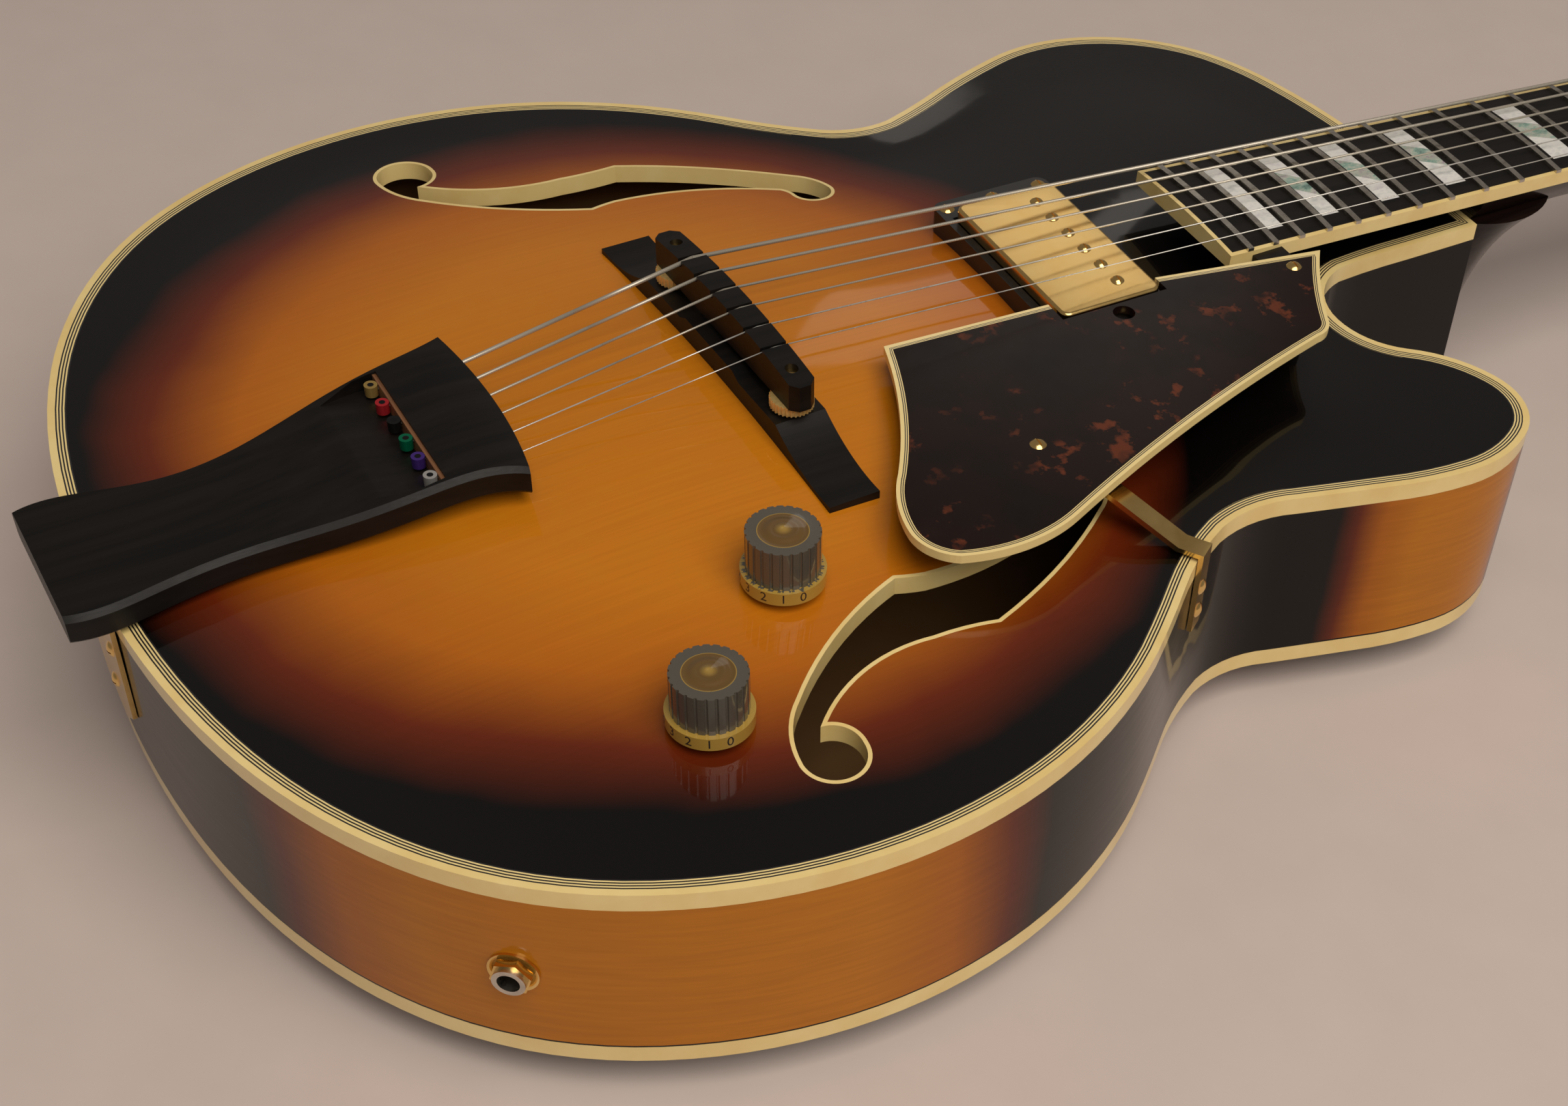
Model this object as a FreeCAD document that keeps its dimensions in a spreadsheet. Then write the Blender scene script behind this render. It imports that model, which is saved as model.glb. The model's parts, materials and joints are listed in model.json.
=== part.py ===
import FreeCAD, Part
import math
import os

import Sketcher
from FreeCAD import Rotation, Vector
from Part import Geom2d

# Single-cutaway archtop guitar lying on its back, in millimetres.
# Every piece is first placed from one reference point: the saddle line on the centre line, level with the
# top edge of the body. +Y runs to the headstock, +X to the treble side, +Z up.
# The whole is then moved so that the origin lies under its middle, on the surface that it rests on.

doc = FreeCAD.newDocument("ArchtopGuitar")
sheet = doc.addObject("Spreadsheet::Sheet", "Sizes")

SIZES = (
    # Whole part: where its own origin lies, seen from the saddle point (measured once all pieces stand)
    ("frame_x", 0, "shift to the origin, across"),
    ("frame_y", 0, "shift to the origin, along"),
    ("frame_z", 0, "shift to the origin, up"),
    ("overrun", 30, "how far cutters reach past what they cut"),
    ("running_gap", 0.05, "radial play of turning pieces"),
    ("clear_gap", 0.35, "air between pieces that move past each other"),
    ("glue_line", 0.1, "glue between the rims and the back"),
    ("hair", 0.01, "bow under which a bend counts as straight"),
    # Body
    ("lower_bout", 387, "widest width of the body"),
    ("body_length", 479.5, "tail edge to neck joint"),
    ("tail_reach", 199.5, "saddle line to tail edge"),
    ("rim_depth", 69, "top edge to back edge"),
    ("rim_thickness", 3, "bent side"),
    ("plate_thickness", 6, "top and back plates"),
    ("top_arch", 13, "rise of the top"),
    ("back_arch", 14, "rise of the back"),
    ("arch_margin", 8, "flat edge under the binding"),
    ("recurve_depth", 0.8, "hollow inside the edge"),
    ("recurve_width", 34, "width of that hollow"),
    ("grid_pitch", 12, "spacing of the points that carry the arch"),
    ("binding_width", 2.2, "edge strip"),
    ("purfling_width", 3.2, "inlaid lines beside the edge strip"),
    ("lining_width", 5, "glue strip inside the rim"),
    ("lining_height", 14, "glue strip inside the rim"),
    ("neck_block_length", 52, "along the centre line"),
    ("neck_block_half", 40, "from the centre line to the bass side"),
    ("tail_block_length", 20, "along the centre line"),
    ("tail_block_width", 70, "across"),
    ("bar_width", 8, "tone bar"),
    ("bar_height", 9, "tone bar below the plate's edge"),
    ("bar_length", 250, "tone bar"),
    ("bar_spread", 58, "centre line to tone bar"),
    ("bar_middle", -8, "saddle line to middle of tone bar"),
    # Sound holes
    ("hole_length", 137, "length of an f-hole"),
    ("hole_x", 118, "centre line to middle of an f-hole"),
    ("hole_y", 12, "saddle line to middle of an f-hole"),
    ("hole_binding", 1.2, "strip that lines an f-hole"),
    # Strings and neck line
    ("scale_length", 628, "saddle to nut"),
    ("saddle_height", 34.3, "strings at the saddle, above the top edge"),
    ("board_gap", 4.9, "strings above the fretboard's plane at the saddle"),
    ("nut_gap", 1.7, "strings above the fretboard's plane at the nut"),
    ("board_pitch", 2.9, "fretboard's fall towards the nut, degrees"),
    ("saddle_spread", 52, "outer strings at the saddle"),
    ("nut_spread", 35, "outer strings at the nut"),
    ("tail_spread", 46.5, "outer strings at the tailpiece"),
    ("string_bass", 0.68, "radius of the lowest string"),
    ("string_treble", 0.17, "radius of the highest string"),
    # Neck and fretboard
    ("board_thickness", 6, "at the centre line"),
    ("board_radius", 305, "roundness of the playing face"),
    ("board_start", 168, "saddle line to the board's end"),
    ("board_end_width", 56.5, "at the body end"),
    ("nut_width", 43, "at the nut"),
    ("nut_length", 5, "along the string"),
    ("board_binding", 1.6, "strip round the board"),
    ("fret_width", 2.3, "crown"),
    ("fret_height", 1.1, "crown"),
    ("tang_width", 0.6, "in its slot"),
    ("tang_depth", 1.8, "in its slot"),
    ("inlay_depth", 1.2, "pearl and shell"),
    ("neck_depth_nut", 15, "wood under the board at the nut"),
    ("neck_depth_heel", 19, "wood under the board at the heel"),
    ("heel_width", 50, "at the top"),
    ("heel_length", 46, "at the top"),
    ("heel_foot_width", 32, "at the back"),
    ("heel_foot_length", 13, "at the back"),
    ("tenon_width", 24, "dovetail at the neck joint"),
    ("tenon_flare", 4, "dovetail's widening on each side"),
    ("tenon_length", 17, "into the neck block"),
    ("tongue_depth", 5, "wood under the board above the top"),
    ("tongue_width", 40, "wood under the board above the top"),
    ("tongue_setback", 14, "from the board's end"),
    ("rod_radius", 2.5, "truss rod"),
    ("rod_setback", 24, "neck joint to the rod's low end"),
    # Headstock
    ("head_angle", 14, "behind the board's plane, degrees"),
    ("head_length", 182, "nut to tip"),
    ("head_width", 76, "at the tip"),
    ("head_thickness", 14.5, "wood"),
    ("overlay_thickness", 1.6, "face veneer"),
    ("cover_thickness", 2, "truss rod cover"),
    ("cover_length", 32, "truss rod cover"),
    ("cover_width", 22, "truss rod cover"),
    ("cover_setback", 2, "truss rod cover from the nut"),
    # Tuners
    ("post_radius", 3, "string post"),
    ("post_height", 12, "above the face"),
    ("post_first", 42, "nut to first post"),
    ("post_pitch", 42, "post to post"),
    ("post_x", 19.5, "centre line to first post"),
    ("post_splay", 1.2, "each next post further out"),
    ("post_hole", 0.9, "radius of the string hole"),
    ("string_lift", 8, "string above the head's wood at the post"),
    ("bushing_radius", 5, "sleeve in the head"),
    ("bushing_flange", 6.4, "nut on the face"),
    ("bushing_flange_height", 2, "nut on the face"),
    ("housing_length", 20, "along the head"),
    ("housing_width", 15, "across the head"),
    ("housing_height", 9.5, "behind the head"),
    ("worm_radius", 1.7, "button shaft"),
    ("worm_offset", 6, "button shaft beside the post"),
    ("button_length", 11, "outwards"),
    ("button_height", 17, "long way"),
    ("button_width", 8, "thin way"),
    ("button_gap", 3, "head edge to button"),
    # Bridge
    ("bridge_skew", 1.8, "bass end set back, degrees"),
    ("base_length", 149, "bridge base"),
    ("base_width", 17, "bridge base"),
    ("base_height", 5.6, "flat at the posts, above the top's crown"),
    ("base_toe", 2.2, "thickness of a foot's end"),
    ("base_flat", 84, "length of the flat"),
    ("base_hump", 30, "length of the raised middle"),
    ("base_hump_rise", 2, "height of the raised middle"),
    ("bridge_post_radius", 2, "threaded post"),
    ("bridge_post_spread", 73.4, "post to post"),
    ("bridge_post_sink", 4, "post in the base"),
    ("wheel_radius", 6.8, "thumbwheel"),
    ("wheel_thickness", 3, "thumbwheel"),
    ("wheel_lift", 1.2, "thumbwheel above the base at rest"),
    ("wheel_knurl", 0.45, "depth of its grooves"),
    ("saddle_length", 90, "beam"),
    ("saddle_width", 8.6, "beam"),
    ("saddle_drop", 2.6, "strings above the beam's ends"),
    ("saddle_chamfer", 2.4, "facets of its ends"),
    ("notch_depth", 0.5, "string notch beside the string"),
    # Tailpiece
    ("tail_overhang", 12.5, "past the tail edge"),
    ("tail_front", 82, "saddle line to the front edge's corners"),
    ("tail_bow", 4, "how far the front edge bows forward"),
    ("tail_front_width", 76, "front"),
    ("tail_waist_width", 44, "narrowest"),
    ("tail_end_width", 50, "at the tail"),
    ("tail_front_top", 22.6, "above the top edge"),
    ("tail_end_top", 10.4, "above the top edge"),
    ("tail_front_thickness", 9.4, "front"),
    ("tail_end_thickness", 9.6, "tail"),
    ("tail_bevel", 1.6, "bevel of its long edges"),
    ("slot_y", 103.5, "saddle line to the slot's front wall"),
    ("slot_length", 7.5, "along the strings"),
    ("slot_width", 55, "across"),
    ("slot_depth", 6, "below the top face"),
    ("ramp_length", 21, "scoop behind the slot"),
    ("ramp_width", 40, "scoop's far end"),
    ("strip_thickness", 1.2, "wood strip on the front wall"),
    ("strip_height", 4.6, "wood strip on the front wall"),
    ("string_hole", 1.1, "radius of a string hole"),
    ("string_exit", 3.2, "string below the front edge's top"),
    ("ball_radius", 2, "string's ball end"),
    ("ball_length", 3.4, "string's ball end"),
    ("hinge_out", 7.1, "tail edge to the hinge pin"),
    ("hinge_radius", 2.4, "knuckles"),
    ("hinge_pin_radius", 1.2, "pin"),
    ("hinge_width", 34, "whole row of knuckles"),
    ("leaf_thickness", 1.4, "hinge leaf and tail plate"),
    ("leaf_length", 26, "hinge leaf under the tailpiece"),
    ("plate_width", 36, "tail plate at the top"),
    ("plate_foot_width", 24, "tail plate above its point"),
    ("plate_length", 50, "tail plate down the rim"),
    ("plate_point", 9, "height of its V"),
    # Pickup
    ("pickup_y", 117.5, "saddle line to the pickup's middle"),
    ("cover_x", 69, "pickup cover across"),
    ("cover_y", 37.5, "pickup cover along"),
    ("cover_top", 20.6, "above the top edge"),
    ("cover_height", 17, "pickup cover"),
    ("cover_wall", 0.7, "pickup cover"),
    ("cover_round", 3.2, "pickup cover's corners"),
    ("cover_edge", 1.1, "pickup cover's top edge"),
    ("ring_x", 90, "mounting ring across"),
    ("ring_y", 44, "mounting ring along"),
    ("ring_top", 15.8, "above the top edge"),
    ("ring_round", 4, "mounting ring's corners"),
    ("ring_screw_x", 40.5, "centre line to ring screws"),
    ("ring_screw_y", 18, "pickup's middle to ring screws"),
    ("pole_spread", 50, "outer pole screws"),
    ("pole_y", 7.4, "pickup's middle to the row"),
    ("pole_radius", 1.5, "screw shank"),
    ("pole_length", 12, "screw shank"),
    ("pole_head_radius", 2.3, "screw head"),
    ("pole_head_height", 1.3, "screw head"),
    ("coil_height", 9.5, "bobbins"),
    ("coil_gap", 0.8, "bobbins to the cover's wall"),
    ("base_plate", 1.4, "pickup's base plate"),
    # Pickguard
    ("guard_top", 20.2, "above the top edge"),
    ("guard_thickness", 2.8, "sheet"),
    ("guard_length", 193, "along the strings"),
    ("guard_width", 99.3, "across"),
    ("guard_x", 23.7, "centre line to its near corner"),
    ("guard_y", 3.5, "saddle line to its low end"),
    ("guard_edge", 2.4, "bound edge"),
    ("guard_play", 1, "round the pickup cover"),
    ("guard_notch", 3.6, "radius of the notch at the ring screw"),
    ("guard_block_width", 12, "block at the neck"),
    ("guard_block_height", 5.5, "block at the neck"),
    ("bracket_width", 7, "flat strip"),
    ("bracket_thickness", 1.6, "flat strip"),
    ("bracket_overhang", 5, "past the guard screw"),
    ("bracket_leg", 27, "down the rim"),
    ("bracket_lift", 1.4, "over the binding"),
    ("bracket_flat", 16, "level stretch under the guard"),
    # Controls
    ("volume_x", 94.5, "knob"),
    ("volume_y", -31.5, "knob"),
    ("tone_x", 132.5, "knob"),
    ("tone_y", -73, "knob"),
    ("knob_skirt_radius", 12.3, "skirt"),
    ("knob_skirt_height", 4.2, "skirt"),
    ("knob_grip_radius", 10.8, "grip"),
    ("knob_height", 17, "to the grip's top"),
    ("knob_dome_radius", 7.4, "recessed dome"),
    ("knob_dome_rise", 1, "dome above the grip"),
    ("knob_lift", 2.2, "skirt above the top at its centre"),
    ("knob_flute", 0.5, "depth of the grip's flutes"),
    ("knob_bore_depth", 11, "for the shaft"),
    ("shaft_radius", 3, "potentiometer shaft"),
    ("pot_radius", 12, "potentiometer can"),
    ("pot_height", 8, "potentiometer can"),
    ("pot_drop", 3.5, "can below the plate's underside"),
    ("pot_bushing", 4.7, "threaded bushing"),
    # Jack
    ("jack_y", -139.5, "saddle line to the jack"),
    ("jack_bore", 3.2, "plug bore"),
    ("jack_radius", 4.7, "threaded bushing"),
    ("jack_reach", 4.6, "bushing past the rim"),
    ("jack_length", 30, "whole socket"),
    ("jack_can_radius", 7.5, "socket inside the rim"),
    ("jack_washer_radius", 7.2, "washer"),
    ("jack_washer", 0.8, "washer"),
    ("jack_nut_width", 12, "hex nut across its corners"),
    ("jack_nut", 2.4, "hex nut"),
    # Small screws
    ("screw_radius", 1.2, "shank"),
    ("screw_length", 8, "shank"),
    ("screw_head_radius", 2.6, "domed head"),
    ("screw_head_height", 1.2, "domed head"),
)

for row, (alias, value, note) in enumerate(SIZES, 1):
    sheet.set("A%d" % row, note)
    sheet.set("B%d" % row, str(value))
    sheet.setAlias("B%d" % row, alias)
doc.recompute()


class Sizes:
    """Reads a cell of the sheet by its name."""

    def __getattr__(self, alias):
        return float(sheet.get(alias))


mm = Sizes()
ACROSS, ALONG, UP = Vector(1, 0, 0), Vector(0, 1, 0), Vector(0, 0, 1)
PIECES = []


# Placing pieces in the part's own frame

def seat(obj, x="0", y="0", z="0"):
    """Binds a piece's place to the sheet: a spot seen from the saddle point, plus the part's shift."""
    for axis, spot in zip("xyz", (x, y, z)):
        obj.setExpression("Placement.Base." + axis, "Sizes.frame_%s + (%s)" % (axis, spot))


def piece(name, shape):
    """Adds a piece whose shape is worked out in code, seen from the saddle point."""
    obj = doc.addObject("Part::Feature", name)
    obj.Label = name
    obj.Shape = Part.makeCompound(shape.Solids)
    seat(obj)
    PIECES.append(obj)
    return obj


# Small shape helpers

def curve_through(points):
    curve = Part.BSplineCurve()
    curve.interpolate(points)
    return curve


def box(low, high):
    """A box between two opposite corners."""
    return Part.makeBox(high.x - low.x, high.y - low.y, high.z - low.z, low)


def rounded_box(low, high, radius):
    """A box with its upright edges rounded."""
    block = box(low, high)
    upright = [edge for edge in block.Edges if abs(edge.Vertexes[0].X - edge.Vertexes[1].X) < 1e-6
               and abs(edge.Vertexes[0].Y - edge.Vertexes[1].Y) < 1e-6]
    return block.makeFillet(radius, upright)


def polygon(points):
    return Part.Face(Part.makePolygon(list(points) + [points[0]]))


def arc(start, via, end):
    return Part.Arc(start, via, end).toShape()


def straight(start, via, end):
    """Whether three spots lie on one line, as near as a hair."""
    chord = end - start
    return chord.cross(via - start).Length < mm.hair * chord.Length


def domed_screw(head_radius, head_height, shank_radius, shank_length):
    """A screw standing on the XY plane: shank below it, domed head above, slot across the head."""
    head = Part.makeCylinder(head_radius, head_height)
    dome_radius = (head_radius ** 2 + head_height ** 2) / (2 * head_height)
    head = head.common(Part.makeSphere(dome_radius, UP * (head_height - dome_radius)))
    slot_half = head_height / 5
    slot = box(Vector(-head_radius, -slot_half, head_height / 2), Vector(head_radius, slot_half, head_height))
    shank = Part.makeCylinder(shank_radius, shank_length + head_height / 4, Vector(0, 0, -shank_length))
    return head.cut(slot).fuse(shank).removeSplitter()


def stand(shape, spot, direction=UP):
    """Turns a shape made along +Z to a direction and moves it to a spot."""
    out = shape.copy()
    turn = Rotation(UP, direction)
    out.Placement = FreeCAD.Placement(spot, turn).multiply(out.Placement)
    return out


# Body outline: half widths as shares of half the lower bout, places as shares of the length from the tail

LOWER_SHARES = ((0.310, 0.0115), (0.584, 0.048), (0.822, 0.121), (0.956, 0.218), (1.0, 0.3326),
                (0.942, 0.4494), (0.814, 0.5366), (0.677, 0.6017), (0.6227, 0.6496))
SHOULDER_SHARES = ((0.669, 0.7122), (0.729, 0.7706), (0.761, 0.8269), (0.7235, 0.8936), (0.610, 0.9493),
                   (0.439, 0.9791), (0.258, 0.9927), (0.132, 0.999))
HORN_SHARES = ((0.641, 0.7018), (0.677, 0.7560), (0.699, 0.8040), (0.690, 0.8457), (0.646, 0.8780),
               (0.5685, 0.8936), (0.491, 0.8884), (0.424, 0.8717), (0.357, 0.8442), (0.274, 0.8315),
               (0.186, 0.8425), (0.141, 0.8665), (0.132, 0.9082), (0.132, 0.9541), (0.132, 1.0))
NECK_Y = mm.body_length - mm.tail_reach
EDGE_STEPS = 96


def outline_spot(side, pair):
    across, along = pair
    return Vector(side * across * mm.lower_bout / 2, along * mm.body_length - mm.tail_reach, 0)


treble_side = [outline_spot(1, pair) for pair in LOWER_SHARES + HORN_SHARES]
bass_side = [outline_spot(-1, pair) for pair in LOWER_SHARES + SHOULDER_SHARES]
EDGE = curve_through(treble_side[::-1] + [Vector(0, -mm.tail_reach, 0)] + bass_side)


def edge_frames():
    """Evenly spaced spots on the outline, each with the direction that points into the body."""
    first, last = EDGE.FirstParameter, EDGE.LastParameter
    for step in range(EDGE_STEPS + 1):
        at = first + (last - first) * step / EDGE_STEPS
        along = EDGE.tangent(at)[0]
        yield EDGE.value(at), Vector(along.y, -along.x, 0)


def inset_spots(inset, height):
    """Spots on the outline moved inwards, from the cutaway's neck corner round the tail to the other."""
    spots = [spot + inward * inset + UP * height for spot, inward in edge_frames()]
    spots[0].y = spots[-1].y = NECK_Y - inset
    return spots


def spans(spots):
    """Spots along an outline, three by three, each three starting at the end of the last."""
    return [spots[first:first + 3] for first in range(0, len(spots) - 1, 2)]


def body_wire(inset, height):
    """The body's outline moved inwards, in short arcs, closed by a straight line across the neck joint."""
    spots = inset_spots(inset, height)
    bends = [Part.makeLine(span[0], span[-1]) if straight(*span) else arc(*span) for span in spans(spots)]
    return Part.Wire(bends + [Part.makeLine(spots[-1], spots[0])])


def body_prism(inset, low, high):
    return Part.Face(body_wire(inset, low)).extrude(UP * (high - low))


def body_ring(outer, inner, low, high):
    """A strip that follows the outline, between two insets."""
    face = Part.makeFace([body_wire(outer, low), body_wire(inner, low)], "Part::FaceMakerBullseye")
    return face.extrude(UP * (high - low))


# Arch: how high the plates rise, from a smooth distance to the outline

ARCH_POWER = 1.7
RIM_SPOTS = [spot for spot, inward in edge_frames()]
RIM_STEPS = [(b - a).Length for a, b in zip(RIM_SPOTS, RIM_SPOTS[1:] + RIM_SPOTS[:1])]
ARCH_CENTRE_SHARE = 0.37


def inside(x, y):
    """Whether a spot lies within the outline, by counting edge crossings."""
    crossings = 0
    for a, b in zip(RIM_SPOTS, RIM_SPOTS[1:] + RIM_SPOTS[:1]):
        if (a.y > y) != (b.y > y) and x < a.x + (y - a.y) * (b.x - a.x) / (b.y - a.y):
            crossings += 1
    return crossings % 2 == 1


def reach(x, y):
    """Distance to the edge, exact beside a straight edge and rounder further in."""
    pull = sum(step / math.hypot(spot.x - x, spot.y - y) ** 3 for spot, step in zip(RIM_SPOTS, RIM_STEPS))
    return (pull / 2) ** -0.5


FULL_REACH = reach(0, ARCH_CENTRE_SHARE * mm.body_length - mm.tail_reach)


def arch_at(x, y, arch):
    """Height of an arched plate above its edge."""
    if not inside(x, y):
        return 0.0
    run = reach(x, y) - mm.arch_margin
    if run <= 0:
        return 0.0
    rise = arch * (run / (FULL_REACH - mm.arch_margin)) ** ARCH_POWER
    if run < mm.recurve_width:
        rise -= math.copysign(mm.recurve_depth, arch) * math.sin(math.pi * run / mm.recurve_width) ** 2
    return rise


def eased(line):
    """Each height in a line averaged with its neighbours, so that the carving has no ripples."""
    middle = [(before + 2 * here + after) / 4 for before, here, after in zip(line, line[1:], line[2:])]
    return line[:1] + middle + line[-1:]


def turned(table):
    """A table of heights with its rows as columns."""
    return [list(line) for line in zip(*table)]


def arch_surface(arch, height):
    """A smooth surface over the whole body, flat round the edge and domed in the middle."""
    half = mm.lower_bout / 2 + mm.grid_pitch
    length = mm.body_length + 2 * mm.grid_pitch
    start = -mm.tail_reach - mm.grid_pitch
    columns, rows = math.ceil(2 * half / mm.grid_pitch), math.ceil(length / mm.grid_pitch)
    step_x, step_y = 2 * half / columns, length / rows
    heights = [[height + arch_at(-half + column * step_x, start + row * step_y, arch)
                for row in range(rows + 1)] for column in range(columns + 1)]
    heights = turned([eased(line) for line in turned([eased(line) for line in heights])])
    surface = Part.BSplineSurface()
    surface.interpolate(heights, -half, step_x, start, step_y)
    return surface


def arched_plate(surface, inset, thickness):
    """The part of an arched surface inside the moved outline, thickened upwards or downwards."""
    def flat(spot):
        return FreeCAD.Base.Vector2d(spot.x, spot.y)
    spots = inset_spots(inset, 0)[::-1]
    bends = [Geom2d.Line2dSegment(flat(span[0]), flat(span[-1])) if straight(*span)
             else Geom2d.ArcOfCircle2d(*[flat(spot) for spot in span]) for span in spans(spots)]
    bends.append(Geom2d.Line2dSegment(flat(spots[-1]), flat(spots[0])))
    wire = Part.Wire([bend.toShape(surface) for bend in bends])
    face = Part.Face(surface, [wire])
    natural_border = max(face.Wires, key=lambda border: border.Length)
    return face.removeShape([natural_border]).extrude(UP * thickness)


TOP = arch_surface(mm.top_arch, 0)
BACK = arch_surface(-mm.back_arch, -mm.rim_depth)
TOP_SHEET = TOP.toShape().extrude(UP * -mm.plate_thickness)
BELOW_TOP = TOP.toShape().extrude(UP * -mm.overrun)


def top_at(x, y):
    return arch_at(x, y, mm.top_arch)


# F-holes: arcs, each by a point on the way and its end, as shares of the hole's length from its middle

HOLE_START_SHARES = (-0.095, -0.095)
HOLE_ARC_SHARES = (
    ((-0.011, -0.266), (0.128, -0.436)), ((0.193, -0.484), (0.274, -0.504)),
    ((0.342, -0.437), (0.274, -0.370)), ((0.223, -0.387), (0.204, -0.429)),
    ((0.109, -0.292), (0.079, -0.102)), ((0.0795, -0.029), (0.089, 0.050)),
    ((0.012, 0.223), (-0.128, 0.439)), ((-0.175, 0.482), (-0.223, 0.496)),
    ((-0.272, 0.447), (-0.223, 0.399)), ((-0.201, 0.394), (-0.182, 0.381)),
    ((-0.104, 0.190), (-0.080, -0.029)), ((-0.0862, -0.0625), (-0.095, -0.095)))


def hole_wire():
    """Outline of the treble f-hole, level with the top edge."""
    def spot(pair):
        return Vector(mm.hole_x + pair[0] * mm.hole_length, mm.hole_y + pair[1] * mm.hole_length, 0)
    edges = []
    start = spot(HOLE_START_SHARES)
    for via, end in HOLE_ARC_SHARES:
        edges.append(arc(start, spot(via), spot(end)))
        start = spot(end)
    return Part.Wire(edges)


def through_top(wire):
    """A cutter with the given outline, from below the top plate to above it."""
    face = Part.Face(wire)
    face.translate(UP * -mm.overrun)
    return face.extrude(UP * 2 * mm.overrun)


def both_sides(shape):
    """A shape and its mirror image on the other side of the centre line."""
    return [shape, shape.mirror(Vector(0, 0, 0), Vector(1, 0, 0))]


hole_cutters = both_sides(through_top(hole_wire().makeOffset2D(mm.hole_binding)))
hole_openings = both_sides(through_top(hole_wire()))
bindings = [TOP_SHEET.common(cutter.cut(opening)) for cutter, opening in zip(hole_cutters, hole_openings)]
piece("f_hole_bindings", Part.makeCompound(bindings))


# Small domed screws, one size throughout: ring, guard, bracket, tail plate and truss rod cover

SCREW_MARGIN_SHARE = 1.5
small_screw = domed_screw(mm.screw_head_radius, mm.screw_head_height, mm.screw_radius, mm.screw_length)
screws = []


def fasten(spot, direction=UP):
    """Adds a small screw whose head sits on a spot and points in a direction, and gives back its solid."""
    solid = stand(small_screw, spot, direction)
    screws.append(solid)
    return solid


# Neck line: shapes made along a level fretboard, with its face at height zero, turn into the neck's pitch

def from_neck(shape):
    out = shape.copy()
    out.rotate(Vector(0, 0, 0), Vector(1, 0, 0), -mm.board_pitch)
    out.translate(UP * (mm.saddle_height - mm.board_gap))
    return out


def neck_spot(x, y, z):
    return from_neck(Part.Vertex(x, y, z)).Point


def from_head(shape):
    """Shapes made on a level headstock, with its wood's face at height zero and the nut's back at zero."""
    out = shape.copy()
    out.rotate(Vector(0, 0, 0), Vector(1, 0, 0), -mm.head_angle)
    out.translate(Vector(0, mm.scale_length + mm.nut_length, -mm.board_thickness))
    return from_neck(out)


def head_spot(x, y, z):
    return from_head(Part.Vertex(x, y, z)).Point


def board_width(y):
    """Fretboard's width at a distance from the saddle line."""
    share = (mm.scale_length - y) / (mm.scale_length - mm.board_start)
    return mm.nut_width + (mm.board_end_width - mm.nut_width) * share


def fret_y(number):
    return mm.scale_length * 2 ** (-number / 12)


# Fretboard, its binding, frets and inlays

FRET_COUNT = 22
BLOCK_FRETS = (1, 3, 5, 7, 9, 12, 15, 17, 19)
PLAIN_BLOCK_FRET = 21
BLOCK_LENGTH_SHARE = 0.56
BLOCK_WIDTH_SHARE = 0.71
BLOCK_SPLIT_SHARE = 0.30
BLOCK_SLANT_SHARE = 0.16


def board_cylinder(radius):
    """The rounded playing face as a long cylinder below it."""
    length = mm.scale_length + 2 * mm.overrun
    return Part.makeCylinder(radius, length, Vector(0, -mm.overrun, -mm.board_radius), Vector(0, 1, 0))


def board_solid(edge):
    """The tapered board, narrowed by a strip on both sides and at its body end."""
    start, end = mm.board_start + edge, mm.scale_length
    wide, narrow = board_width(start) / 2 - edge, board_width(end) / 2 - edge
    plan = polygon([Vector(-wide, start, 0), Vector(wide, start, 0),
                    Vector(narrow, end, 0), Vector(-narrow, end, 0)])
    return plan.extrude(UP * -mm.board_thickness).common(BOARD_ROUND)


BOARD_ROUND = board_cylinder(mm.board_radius)
FRET_SKIN = board_cylinder(mm.board_radius + mm.fret_height).cut(BOARD_ROUND)
INLAY_SKIN = BOARD_ROUND.cut(board_cylinder(mm.board_radius - mm.inlay_depth))


def slab(points, skin):
    """The part of a thin round skin that lies over a plan outline."""
    plan = polygon([Vector(x, y, -mm.overrun) for x, y in points])
    return skin.common(plan.extrude(UP * 2 * mm.overrun))


def fret_solid(number):
    y = fret_y(number)
    half, core = board_width(y) / 2, board_width(y) / 2 - mm.board_binding
    edge, thin = mm.fret_width / 2, mm.tang_width / 2
    crown = slab([(-half, y - edge), (half, y - edge), (half, y + edge), (-half, y + edge)], FRET_SKIN)
    tang = box(Vector(-core, y - thin, -mm.tang_depth), Vector(core, y + thin, mm.fret_height))
    return crown, tang.common(BOARD_ROUND)


def block_inlay(number):
    """One position block: its two pearl ends and the shell middle between slanting joints."""
    near, far = fret_y(number), fret_y(number - 1)
    middle, length = (near + far) / 2, (far - near) * BLOCK_LENGTH_SHARE
    half = board_width(middle) * BLOCK_WIDTH_SHARE / 2
    low, high = middle - length / 2, middle + length / 2
    split, slant = half * BLOCK_SPLIT_SHARE, half * BLOCK_SLANT_SHARE
    if number == PLAIN_BLOCK_FRET:
        return [slab([(-half, low), (half, low), (half, high), (-half, high)], INLAY_SKIN)], []
    bass_joint = [(-split - slant, low), (-split + slant, high)]
    treble_joint = [(split - slant, low), (split + slant, high)]
    bass_end = slab([(-half, low)] + bass_joint + [(-half, high)], INLAY_SKIN)
    treble_end = slab([(half, low)] + treble_joint + [(half, high)], INLAY_SKIN)
    return [bass_end, treble_end], [slab(bass_joint + treble_joint[::-1], INLAY_SKIN)]


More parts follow.
